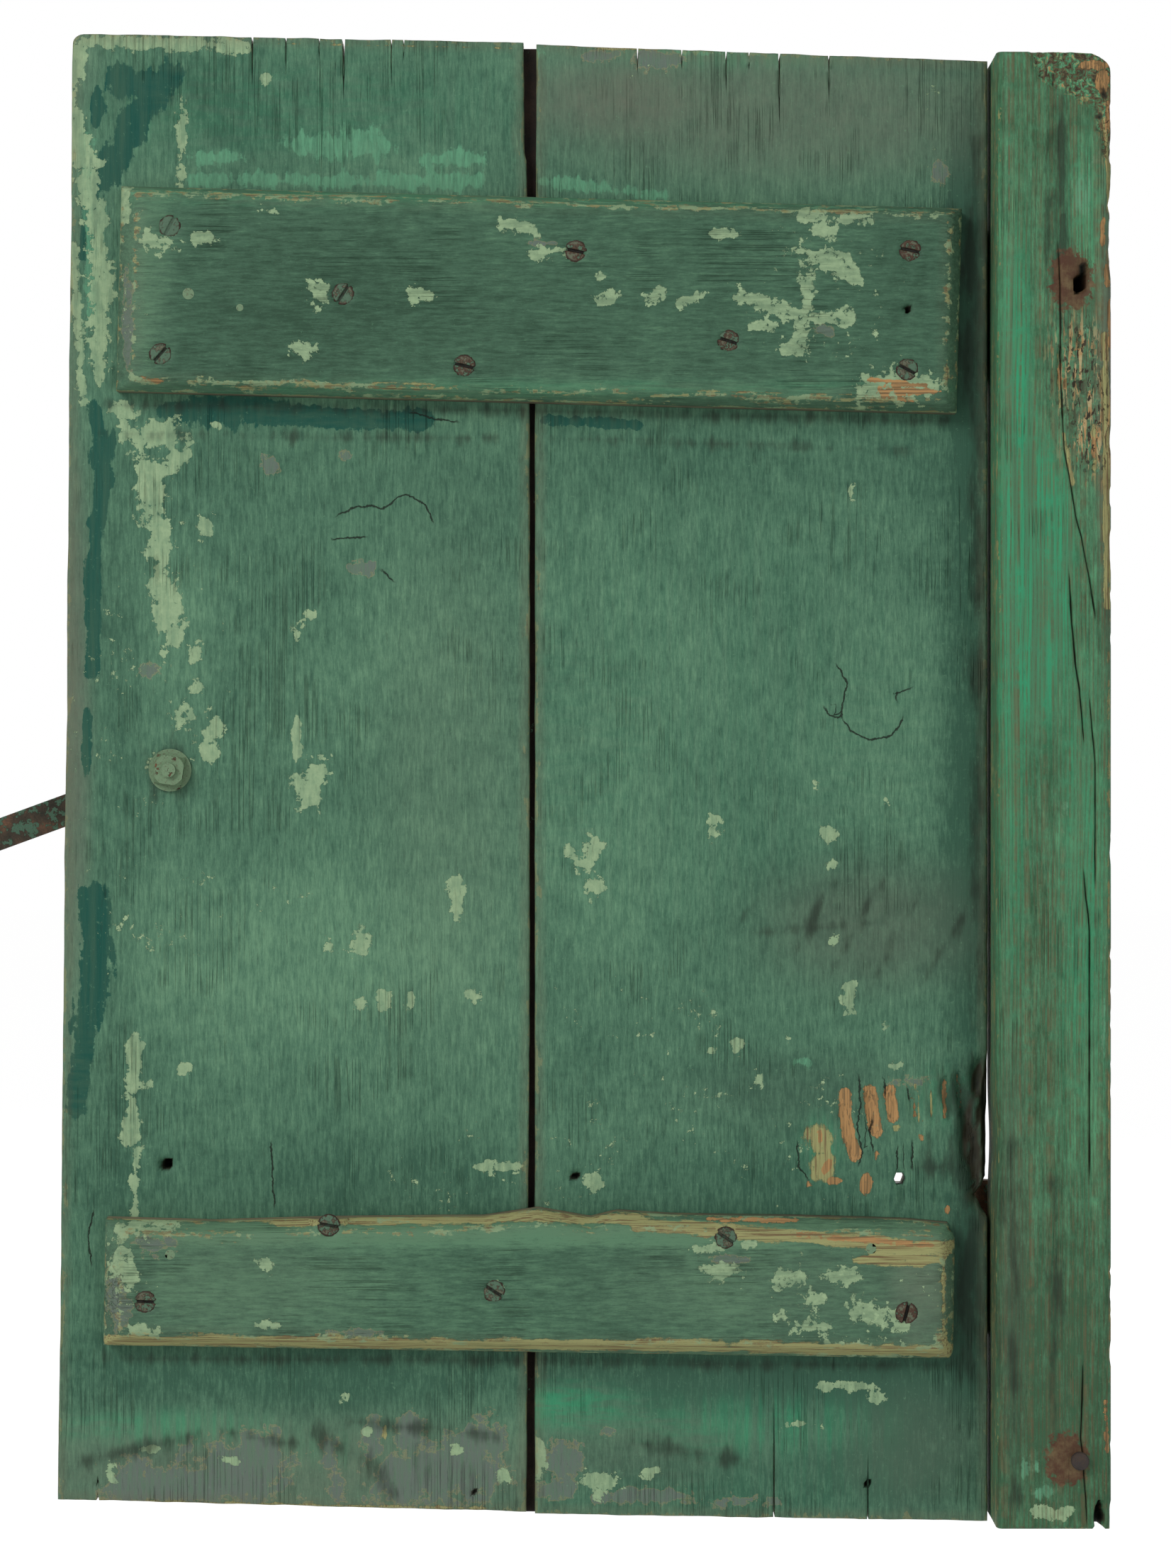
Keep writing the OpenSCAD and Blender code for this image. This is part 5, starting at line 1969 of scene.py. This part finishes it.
LEFT_BOARD_WEAR = Weathering(
    patches={
        PaintLayer.SAGE: blots(
            (-214, 228, 17, 9), (-200, 240, 9, 3), (-188, 348, 4, 8), (-188, 368, 3, 7), (-193, 385, 6, 7),
            (-181, 402, 5, 10), (-177, 392, 3, 7), (-243, 150, 6, 50), (-131, 337, 3, 6), (-124, 328, 3, 3),
            (-132, 399, 3, 15), (-124, 425, 8, 12, 20), (-112, 517, 3, 4), (-97, 515, 6, 7),
            (-41, 489, 4, 14), (-195, 585, 3, 3), (-95, 547, 3, 3), (-82, 545, 4, 6), (-67, 546, 3, 4),
            (-33, 543, 4, 3), (-150, 26, 3, 3), (-183, 279, 4, 5), (-20, 640, 14, 3), (-215, 594, 5, 3),
            (-205, 247, 9, 5), (-228, 214, 8, 5), (-176, 222, 3, 2), (-214, 800, 6, 2), (-236, 812, 3, 6),
            (-92, 790, 2, 2), (-170, 806, 5, 1.5), (-40, 800, 2, 3), (-15, 815, 3, 5), (-106, 772, 2, 2),
        ) + streaks(
            (6.5, (-215, 244), (-212, 262), (-208, 290), (-205, 320), (-202, 346)),
            (7, (-258, 10), (-262, 40), (-244, 110)), (4, (-250, 5), (-160, 7)),
            (4, (-223, 571), (-225, 626)), (1.8, (-196, 36), (-197, 88)), (3, (-258, 120), (-252, 208)),
            (1.5, (-222, 625), (-224, 700)),
        ),
        PaintLayer.MINT: blots(
            (-176, 71, 17, 8), (-106, 64, 36, 12), (-45, 71, 24, 7),
        ) + streaks(
            (6, (-190, 83), (-30, 84)), (5, (-250, 60), (-246, 160)),
        ),
        PaintLayer.TEAL: blots(
            (-244, 44, 4, 12), (-170, 213, 34, 10), (-241, 236, 9, 12), (-250, 400, 3, 20),
        ) + streaks(
            (9, (-202, 24), (-212, 34), (-226, 56), (-240, 80)), (9, (-230, 28), (-214, 30)),
            (4.5, (-240, 78), (-249, 96), (-250, 124)), (6, (-204, 214), (-60, 219)),
            (4.5, (-245, 212), (-240, 250), (-247, 300), (-246, 360)),
            (8, (-247, 486), (-243, 520), (-250, 560)), (6, (-250, 560), (-256, 606)),
        ),
        PaintLayer.LILAC: blots(
            (-185, 821, 46, 11), (-160, 808, 22, 13), (-222, 819, 14, 12), (-149, 796, 8, 8),
            (-195, 800, 6, 4, -35), (-88, 795, 5, 12), (-66, 789, 7, 11), (-50, 812, 34, 16),
            (-30, 796, 14, 10), (-75, 822, 14, 9), (-214, 360, 5, 3), (-147, 244, 4, 4), (-95, 302, 6, 2.5),
            (-105, 240, 3, 2),
        ) + streaks(
            (4, (-113, 798), (-108, 824)),
        ),
        PaintLayer.TAN: blots(
            (-82, 790, 2, 5),
        ) + streaks(
            (0.5, (-257, 380), (-260, 470)), (1.5, (-250, 829), (-20, 833)), (0.8, (-150, 6), (-10, 9)),
        ),
    },
    # The blot at x -202 is a painted shadow ring round the latch washer, and the streaks at drop 210 to 229
    # and 748 to 750 are painted shadow under the ledges; the rest is dirt.
    grime_and_shade=blots(
        (-202.4, 417, 13.5, 13.5),
    ) + streaks(
        (1.5, (-240, 227), (-20, 229)), (2.5, (-238, 210), (0, 214)), (2.0, (-238, 748), (0, 750)),
        (4, (-250, 806), (-190, 792)), (5, (-120, 790), (-84, 812), (-80, 826)),
        (3, (-100, 784), (-20, 792)), (3, (-170, 790), (-130, 797)),
    ),
    speckle=blots((-190, 330, 25, 90), (-180, 500, 60, 30), (-40, 640, 40, 30), (-230, 420, 30, 120)),
    pits=Pit.rows((-205.5, 639, 3.2, 3.0, 18), (-32, 824, 1.4, 1.4, 9)),
    # The dark rows at drop 260 and 757 are painted shade below the ledges; the other rows are the paint's
    # own tone.
    tones=Tone.rows(
        (-140, 42, 115, 26, -0.9, 0.15), (-100, 260, 130, 34, -0.3), (-232, 430, 16, 190, -0.6),
        (-43, 420, 40, 120, 0.3, 0, 0.15), (-130, 525, 115, 45, 0.7), (-110, 650, 150, 26, -0.7),
        (-110, 757, 150, 22, -1.1), (-130, 812, 160, 26, 0, 0, 0.5), (-258, 385, 9, 140, 0, 0, 0.7),
        (-203, 330, 20, 60, 0.4), (-205, 788, 50, 9, 0.5, 0.6), (-100, 800, 40, 10, 0.2, 0.4),
        (-255, 20, 14, 30, 0.6, 0, 0.2),
    ),
    fissures=cracks(
        ((-109, 273), (-98, 268), (-91, 267), (-82, 269), (-74, 262), (-68, 261), (-58, 267), (-54, 277)),
        ((-112, 286), (-92, 285)), ((-84, 303), (-76, 310)), ((-146, 626), (-144, 664)),
        ((-246, 664), (-249, 680), (-247, 696)), ((-68, 214), (-54, 218), (-40, 220)),
    ),
)

RIGHT_BOARD_WEAR = Weathering(
    patches={
        PaintLayer.SAGE: blots(
            (34, 463, 7, 8), (23, 462, 3, 3), (38, 483, 7, 4), (24, 461, 2, 2), (103, 447, 5, 8, 20),
            (169, 453, 4, 6), (171, 470, 3, 3), (172, 513, 3, 3), (181, 544, 4, 9), (201, 562, 2, 2),
            (146, 568, 2, 2), (117, 573, 3, 4), (103, 575, 3, 2), (207, 583, 3, 2), (182, 260, 2, 5),
            (201, 433, 1.5, 1.5), (162, 423, 1.5, 1.5), (35, 648, 6, 4), (5, 806, 4, 12), (40, 818, 10, 6),
            (70, 812, 6, 3), (176, 764, 14, 1.5), (150, 786, 10, 2), (196, 770, 4, 5), (190, 616, 2, 2),
            (110, 600, 3, 2), (130, 590, 3, 3),
        ),
        PaintLayer.MINT: blots(
            (154, 581, 8, 4), (5, 12, 6, 6),
        ) + streaks(
            (5, (6, 84), (74, 92)), (4, (84, 9), (132, 10)),
        ),
        PaintLayer.TEAL: streaks((3, (8, 219), (60, 221))),
        PaintLayer.LILAC: blots(
            (74, 15, 14, 5), (40, 13, 10, 3), (18, 806, 8, 10), (14, 822, 12, 4), (60, 826, 26, 3),
            (110, 829, 20, 1.5), (45, 790, 4, 3), (215, 592, 8, 1.5), (232, 80, 4, 6),
        ),
        PaintLayer.TAN: blots(
            (168, 640, 3, 8), (207, 618, 3, 3.5), (58, 9, 20, 1.5), (163, 624, 10, 11), (166, 641, 9, 11),
        ) + streaks(
            (1.2, (226, 590), (227, 612)), (2.0, (218, 594), (221, 616)),
        ),
        PaintLayer.ORANGE: blots(
            (190, 650, 3.6, 6.5), (196, 634, 1.2, 3), (168, 640, 2.6, 5, 20), (172, 648, 4.5, 2.4),
            (158, 650, 1.8, 2), (164, 623, 1.4, 4), (221, 624, 1.5, 3), (236, 664, 1.6, 2.4),
        ) + streaks(
            (3.6, (178, 599), (178, 612), (180, 622), (184, 634)),
            (3.8, (192, 598), (194, 612), (196, 620)), (3.2, (203, 597), (205.5, 612)),
            (0.9, (216, 598), (218, 612)), (1.3, (234, 592), (235, 612)), (0.8, (242, 588), (243, 606)),
        ),
    },
    # The blots at x 248 to 249 and the streaks at x 253 to 257 are painted shadow beside the post and the
    # ledge ends, and the streaks at drop 214 to 236 and 750 are painted shadow under the ledges; the rest
    # is dirt and rot.
    grime_and_shade=blots(
        (247, 622, 15, 46), (236, 640, 8, 10), (248, 152, 10, 62), (249, 712, 11, 48), (226, 640, 12, 6),
    ) + streaks(
        (4.2, (255, 84), (257, 150), (257, 215)), (3.6, (256, 668), (257, 752)), (4, (253, 60), (253, 560)),
        (2.5, (0, 214), (236, 219)), (2.0, (0, 750), (236, 753)), (4, (60, 796), (120, 806)),
        (1.2, (10, 229), (220, 236)), (1.4, (150, 520), (172, 478)), (1.6, (170, 530), (198, 480)),
        (1.8, (196, 532), (222, 484)), (1.2, (120, 500), (138, 480)), (1.8, (222, 536), (244, 500)),
        (1.2, (130, 508), (200, 502)),
    ),
    speckle=blots(
        (25, 640, 30, 25), (60, 580, 60, 60), (150, 620, 50, 40), (230, 60, 14, 40), (80, 20, 30, 8),
    ),
    pits=Pit.rows(
        (25.8, 645.5, 1.8, 2.8, 16), (209, 647, 4.0, 5.0, 1.2, 0, 1.5), (191, 819, 1.7, 1.9, 14),
        (180, 620, 4.2, 17, 2.0, -15, 3.0), (193.5, 610, 4.0, 12, 2.4, -14, 3.0),
        (203.5, 606, 4.0, 10, 2.2, -14, 3.0), (218, 607, 3.6, 11, 2.6, -10, 3.0),
        (226.5, 603, 3.4, 14, 2.8, -10, 3.0), (235.5, 602, 3.6, 13, 3.2, -10, 3.0),
        (243.5, 600, 3.6, 14, 4.0, -10, 3.0), (210, 658, 0.9, 9, 3.0, 4, 0.6),
    ),
    # Negative light at x 245 to 248 is painted shade beside the post and the ledge ends, and at drop 226,
    # 242 and 757 painted shade under the ledges; the other rows are the paint's own tone.
    tones=Tone.rows(
        (150, 45, 120, 36, -0.3, 0, 0.55), (40, 35, 40, 20, 0, 0, 0.4), (120, 10, 60, 9, 0.6, 0.5),
        (130, 242, 130, 24, -0.6), (90, 390, 130, 110, 0.05, 0.06), (40, 470, 50, 40, 0.4),
        (196, 504, 56, 32, -1.0, 0, 0.4), (247, 400, 13, 230, -1.3), (110, 655, 110, 26, -0.8),
        (150, 598, 60, 20, -0.6, 0, 0.1), (130, 757, 150, 22, -1.5), (60, 800, 60, 18, -0.3, 0, 0.25),
        (150, 815, 90, 22, -0.6, 0.1), (248, 150, 10, 66, -3.2), (248, 712, 9, 48, -2.4),
        (218, 800, 40, 30, -1.3, 0, 0.25), (-140, 226, 90, 9, -1.2, 0.35), (20, 776, 34, 12, 0.3, 0.7),
        (130, 786, 60, 14, 0.1, 0.5), (245, 100, 10, 60, -1.2), (165, 628, 10, 16, 0.4, 0.35),
        (232, 600, 16, 14, 0.2, 0.3),
    ),
    fissures=cracks(
        ((173, 356), (177, 363), (180, 367), (177, 376), (176, 386), (181, 394), (191, 399), (202, 398),
         (208, 393), (211, 386)),
        ((208, 378), (206, 373), (216, 370)), ((166, 380), (169, 385), (177, 388)),
        ((151, 626), (152, 640), (158, 648)), ((186, 588), (187, 606), (185, 618), (188, 632), (186, 640)),
        ((200, 590), (201, 602)), ((213, 595), (215, 604)), ((194, 612), (192, 620), (194, 632)),
        ((216, 625), (216, 642)), ((208, 628), (207, 643)),
    ),
)

UPPER_LEDGE_WEAR = Weathering(
    patches={
        PaintLayer.SAGE: blots(
            (-207, 120, 11, 6), (-227, 100, 5, 14), (-186, 118, 4, 2), (-120, 147, 8, 4), (-118, 152, 5, 6),
            (-60, 150, 9, 4), (-5, 113, 12, 4, 15), (12, 126, 14, 4, -8), (46, 152, 9, 3),
            (70, 151, 8, 4, -30), (92, 152, 9, 3, -20), (108, 116, 10, 3), (40, 140, 3, 3),
            (146, 180, 7, 3.6), (178, 164, 5, 4), (166, 115, 9, 6), (206, 202, 26, 8.5), (222, 204, 9, 8),
            (-126, 181, 8, 6, 40), (-180, 120, 6, 4), (170, 108, 22, 5), (130, 168, 9, 3),
            (-148, 104, 7, 2),
        ) + streaks(
            (6.0, (152, 127), (166, 132), (180, 140)), (4.6, (157, 128), (155, 158), (151, 180)),
            (3.8, (120, 152), (140, 160), (172, 164)),
        ),
        PaintLayer.MINT: streaks((2.0, (-225, 92), (225, 103))),
        PaintLayer.LILAC: blots((8, 122, 10, 2), (165, 170, 6, 3), (-225, 160, 3, 30)),
        PaintLayer.TAN: streaks(
            (1.3, (-226, 199), (-130, 202)), (1.3, (-100, 200), (-30, 202)), (1.2, (60, 203), (180, 206)),
            (0.8, (-226, 92), (226, 103)),
        ),
        PaintLayer.ORANGE: blots(
            (-214, 198, 10, 1.2, 5),
        ) + streaks(
            (1.2, (190, 198), (222, 201)), (1.4, (196, 203), (229, 205)), (1.1, (188, 208), (216, 209)),
        ),
    },
    tones=Tone.rows(
        (-150, 150, 110, 50, -0.5), (90, 150, 110, 40, 0.0), (-212, 120, 16, 30, 0.3),
        (0, 95, 230, 6, 1.0, 0.3), (-216, 150, 13, 52, 1.5, 0, 0.1), (0, 203, 230, 5, 0.9, 0.25),
    ),
    speckle=blots((-225, 140, 12, 50), (160, 150, 50, 40)),
    pits=Pit.rows((212, 158, 2.1, 2.1, 14, 0, 0.8)) + [head.seat() for head in UPPER_HEADS],
)

LOWER_LEDGE_WEAR = Weathering(
    patches={
        PaintLayer.SAGE: blots(
            (-230, 690, 7, 8), (-222, 672, 12, 5), (-206, 674, 10, 4), (-223, 700, 5, 8),
            (-150, 692, 7, 3, 20), (-215, 730, 9, 5), (-145, 727, 8, 3), (-18, 706, 3, 4),
            (110, 696, 14, 5), (122, 682, 8, 4), (100, 684, 10, 3), (146, 700, 10, 7), (160, 712, 8, 5),
            (175, 700, 12, 6), (158, 728, 14, 5), (190, 720, 9, 9), (178, 740, 14, 4), (205, 725, 8, 6),
            (140, 720, 4, 6), (204, 742, 10, 4), (-120, 668, 10, 2),
        ),
        PaintLayer.LILAC: blots(
            (-208, 680, 12, 5), (-230, 715, 5, 16), (-100, 732, 14, 2), (112, 690, 12, 3),
        ),
        PaintLayer.TAN: blots(
            (206, 690, 26, 5),
        ) + streaks(
            (2.5, (-236, 667), (-140, 669)), (4.0, (-140, 669), (-20, 667)), (4.0, (-20, 666), (60, 668)),
            (5.0, (60, 670), (236, 684)), (4.6, (-236, 736), (-120, 737)), (4.6, (-120, 737), (120, 739)),
            (5.0, (120, 739), (236, 742)), (2.0, (232, 690), (233, 740)),
        ),
        PaintLayer.ORANGE: streaks(
            (1.6, (150, 676), (226, 682)), (1.0, (100, 668), (150, 669)), (0.8, (-60, 744), (90, 746)),
            (0.8, (-220, 742), (-150, 744)),
        ),
    },
    tones=Tone.rows(
        (218, 708, 14, 30, 0.9, 0, 0.45), (-170, 705, 70, 30, 0.8, 0, 0.15), (-40, 712, 120, 26, 0.7),
        (0, 676, 240, 7, 2.2), (150, 705, 90, 28, 0.6, 0, 0.15), (0, 742, 240, 5, 1.0, 0, 0.15),
    ),
    speckle=blots((-222, 700, 20, 30), (170, 715, 60, 30)),
    pits=[head.seat() for head in LOWER_HEADS],
)

POST_WEAR = Weathering(
    patches={
        PaintLayer.MINT: blots(
            (-30, 660, 8, 10), (2, -50, 8, 16), (10, -70, 5, 8), (-20, 672, 10, 6), (4, 26, 6, 4),
        ) + streaks(
            (3, (-8, 290), (-6, 370)), (2, (12, 350), (14, 440)),
        ),
        PaintLayer.TAN: blots(
            (4, -102, 5, 2),
        ) + streaks(
            (2, (14, -90), (17, -40)), (3, (14, 30), (16, 180)), (1.2, (16, 200), (17, 600)),
            (1.4, (-12, 40), (-11, 70)), (1.2, (-9, 22), (-8, 34)), (0.8, (-4, 46), (-3, 60)),
            (0.8, (-1, 24), (0, 52)), (0.8, (3, 30), (4, 50)), (1.0, (9, 34), (10, 60)),
            (1.8, (8, 80), (8, 104)), (1.2, (13, 40), (13, 110)), (1.6, (-9, 84), (-4, 112)),
            (0.8, (-2, 80), (-1, 100)),
        ),
        PaintLayer.ORANGE: blots(
            (13, -112, 4, 7), (8, -121, 9, 2.5), (16, -92, 1.6, 9), (13, -28, 1.4, 8), (15.5, -4, 1.6, 7),
            (16.5, 18, 1.0, 8), (10.8, 682, 2, 3), (-11, 50, 1, 7), (8, 92, 1.2, 6),
        ) + streaks(
            (1.0, (17, 22), (17, 36)), (1.0, (14.5, 622), (15.2, 650)),
        ),
        PaintLayer.SAGE: blots((-16, 684, 12, 4)),
    },
    grime_and_shade=blots((-10, -40, 6, 60)) + streaks((4, (-38, 480), (-36, 690)), (3, (-14, 500), (-12, 640))),
    rust=blots((-4.5, -1, 12.5, 17), (-7, 654, 12, 15)),
    # The light row at x -40, drop 60 is a painted highlight on the post's rounded left arris; the other
    # rows are the paint's own tone.
    tones=Tone.rows(
        (-23, 165, 13, 66, 0.3, 2.0), (-12, 150, 8, 40, 0.1, 1.0), (-34, 60, 8, 70, 0.2, 0.8),
        (2, 330, 12, 120, 0.5, 0.6), (-38, 200, 8, 190, 0.2, 0.7), (4, -45, 13, 30, 0.8, 0.4),
        (-15, 600, 30, 75, -1.4, 0.1, 0.1), (-38, 520, 9, 110, -0.9, 0, 0.25), (-40, 60, 8, 90, 0.5),
        (16, 60, 5, 120, 0, 0, 0.8), (4, 62, 12, 42, 0.2, 0, 0.25), (-20, 300, 14, 80, -0.2),
    ),
    speckle=blots((3, 64, 12, 40, -8), (16, -84, 2, 14)),
    pits=Pit.rows(
        (0.5, 0.5, 3.4, 4.6, 40, 0, 1.0), (2.2, -6.0, 2.6, 6.0, 9, 10, 1.2),
        (10.8, 686, 2.6, 8.0, 14, 0, 1.0), (-1.6, 292.5, 1.0, 1.0, 5, 0, 0.6),
        (-24.9, 480, 0.9, 0.9, 4, 0, 0.6),
    ),
)


# --- The door ---


@dataclass
class HatchDoor:
    """The whole door: leaf, post and ironwork."""

    joint_x: float = field(init=False)
    head_z: float = field(init=False)

    def __post_init__(self) -> None:
        """Reads the leaf's own reference corner: the open joint's free side, at the head."""
        self.joint_x = float(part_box("left_board")[1].x)
        self.head_z = float(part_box("left_board")[1].z)

    def left_board(self) -> Board:
        """Describes the free board.

        Returns:
            The piece, ready to carve.
        """
        low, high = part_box("left_board")
        lean = 8.0 * MM
        height = high.z - low.z
        return Board(
            "left_board", "leaf", "board_paint", BOARD_PAINT, self.joint_x, self.head_z, LEFT_BOARD_WEAR,
            seed=11,
            head=lambda x: high.z - 0.5 * MM - np.clip(x - low.x - lean, 0, None) * slope(1.1)
            - rounding(np.clip(x - low.x - lean, 0, None), 6 * MM),
            foot=lambda x: low.z + 0.3 * MM + (high.x - x) * slope(1.5),
            left=lambda z: low.x + lean * (z - low.z) / height + 0.8 * MM * relief(z, z * 0, 0.12, 1, 5, 2),
            right=lambda z: high.x - self._joint_wear(z),
            head_splits=(Split(-156.5, 28, 1.2), Split(-137.5, 19, 0.8), Split(-118.7, 10, 0.7),
                         Split(-105, 33, 1.8), Split(-78, 24, 0.8), Split(-71, 8, 0.7)),
            foot_splits=(Split(-243.7, 8, 1.6),),
        )

    def _joint_wear(self, z: Array) -> Array:
        """Gives how far the free board's joint edge is worn back at a height.

        Args:
            z: Height of each point.

        Returns:
            How far it is cut back.
        """
        drop = (self.head_z - z) / MM
        worn = np.interp(drop, [0, 66, 70, 100, 216, 540, 660, 830], [3.5, 3.0, 1.8, 1.4, 0, 0, 0.8, 1.9])
        return worn * MM

    def right_board(self) -> Board:
        """Describes the hinge-side board.

        Returns:
            The piece, ready to carve.
        """
        low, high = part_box("right_board")
        edge = low.x + JointTongue.reach
        return Board(
            "right_board", "leaf", "board_paint", BOARD_PAINT, self.joint_x, self.head_z, RIGHT_BOARD_WEAR,
            seed=23, near_x=edge,
            head=lambda x: high.z - 0.4 * MM - (x - edge) * slope(2.1),
            foot=lambda x: low.z + 0.3 * MM + (high.x - x) * slope(0.9),
            left=lambda z: edge
            + np.interp((self.head_z - z) / MM, [0, 70, 216, 840], [1.5, 1.2, 0.5, 0.5]) * MM,
            right=lambda z: high.x - self._rotted_edge(z),
            head_splits=(Split(61, 12, 0.8), Split(86, 8, 0.7), Split(111, 20, 1.0), Split(124, 6, 0.7),
                         Split(141, 38, 1.2), Split(169, 20, 0.9)),
            foot_splits=(Split(138, 78, 0.9), Split(191, 36, 0.8)),
            rot=self._rot_cavity, hole=(209, 647, 3.3, 4.3),
        )

    def _rotted_edge(self, z: Array) -> Array:
        """Gives how far the hinge-side edge is rotted back at a height.

        Args:
            z: Height of each point.

        Returns:
            How far it is cut back.
        """
        drop = (self.head_z - z) / MM
        slit = np.interp(drop, [560, 604, 612, 646, 650, 656, 664, 668], [0, 0, 0.5, 0.6, 2.6, 7.0, 3.0, 0])
        ragged = 0.5 * relief(z, z * 0, 0.008, 1, 61, 3) * ease(slit, 0.0, 1.0)
        return np.clip(slit + ragged, 0, None) * MM

    def _rot_cavity(self, x: Array, z: Array) -> Array:
        """Gives the depth of the rot beside the post.

        Args:
            x: Place of each point from left to right.
            z: Height of each point.

        Returns:
            The depth.
        """
        across, drop = (x - self.joint_x) / MM, (self.head_z - z) / MM
        zone = 1 - ease(Blot(258, 622, 16, 46).distance(across, drop), -7, 2)
        fibres = relief(across, drop, 2.2, 18, 71, 4)
        return np.clip(zone * (4.5 + 6.0 * fibres), 0, 12) * MM

    def upper_ledge(self) -> Ledge:
        """Describes the upper ledge.

        Returns:
            The piece, ready to carve.
        """
        low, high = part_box("upper_ledge")
        tilt = slope(1.5)
        span = float(high.x - low.x)
        return Ledge(
            "upper_ledge", "leaf", "ledge_paint", LEDGE_PAINT, self.joint_x, self.head_z, UPPER_LEDGE_WEAR,
            seed=37, seats=UPPER_HEADS, step_x=2.2 * MM, step_z=2.0 * MM,
            top=lambda x: high.z - (x - low.x) * tilt,
            bottom=lambda x: low.z + (low.x + span - x) * tilt,
            left=lambda z: low.x + 3.0 * MM * (z - low.z) / (high.z - low.z),
            right=lambda z: high.x - 3.0 * MM * (high.z - z) / (high.z - low.z),
        )

    def lower_ledge(self) -> Ledge:
        """Describes the lower ledge.

        Returns:
            The piece, ready to carve.
        """
        low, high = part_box("lower_ledge")
        top_line = ([0, 60, 120, 190, 214, 245, 275, 290, 320, 390, 430, 455, 478],
                    [2.5, 4.2, 2.4, 1.6, 1.6, -3.0, 2.2, -1.5, 0.5, 1.5, 2.5, 3.4, 5.5])
        return Ledge(
            "lower_ledge", "leaf", "ledge_paint", LEDGE_PAINT, self.joint_x, self.head_z, LOWER_LEDGE_WEAR,
            seed=53, seats=LOWER_HEADS, step_x=2.2 * MM, step_z=2.0 * MM,
            bevel_top=7 * MM, bevel_bottom=7 * MM,
            top=lambda x: high.z - (3.0 + np.interp((x - low.x) / MM, *top_line)) * MM,
            bottom=lambda x: low.z + (high.x - x) * slope(0.9),
            left=lambda z: low.x + 1.2 * MM * (z - low.z) / (high.z - low.z),
            right=lambda z: high.x - 1.2 * MM * (high.z - z) / (high.z - low.z)
            - rounding(np.minimum(high.z - 0.004 - z, z - low.z), 7 * MM) * 0.5,
        )

    def post(self) -> Post:
        """Describes the hanging post.

        Returns:
            The piece, ready to carve.
        """
        shakes = (
            Shake(((-18, -130), (-17, -20), (-11, 103), (-6, 160), (-4, 190), (-2, 213), (0, 225),
                   (1.5, 243), (2.5, 257), (2, 290), (2, 326), (3.5, 343), (5.5, 357), (7.5, 387),
                   (10.5, 419), (13.3, 447), (15, 463), (16, 480), (2, 601), (0.7, 642), (2, 650),
                   (2.3, 661), (3.5, 676), (4.3, 692)),
                  (160, 325, 600), (257, 500, 692), 3.2),
            Shake(((-12, -130), (-12, -23), (-10.3, 21), (-11, 43), (-11, 72), (-8.3, 93), (-4.8, 112),
                   (-2, 130), (0.8, 141), (6.2, 169), (9.4, 188), (5.5, 228), (7, 248), (8.2, 263),
                   (9.8, 278), (12.5, 303), (15.3, 321), (17.7, 340), (18, 500), (14, 700)),
                  (-23, 228), (190, 338), 2.6),
        )
        return Post("hanging_post", "post", "post_paint", POST_PAINT, 0.0, 0.0, POST_WEAR, step_x=1.9 * MM,
                    step_z=2.4 * MM, seed=71, shakes=shakes)

    def build(self) -> None:
        """Builds every piece in order."""
        for describe in (self.left_board, self.right_board, self.upper_ledge, self.lower_ledge, self.post):
            describe().build()
        JointTongue().build()
        LedgeScrews("upper_ledge_screws", UPPER_HEADS, self.joint_x, self.head_z).build()
        LedgeScrews("lower_ledge_screws", LOWER_HEADS, self.joint_x, self.head_z).build()
        Ironwork().dress()


def main() -> None:
    """Builds the studio and the door."""
    logging.basicConfig(level=logging.INFO, format="%(name)s: %(message)s")
    Studio().build()
    HatchDoor().build()


if __name__ == "__main__":
    main()
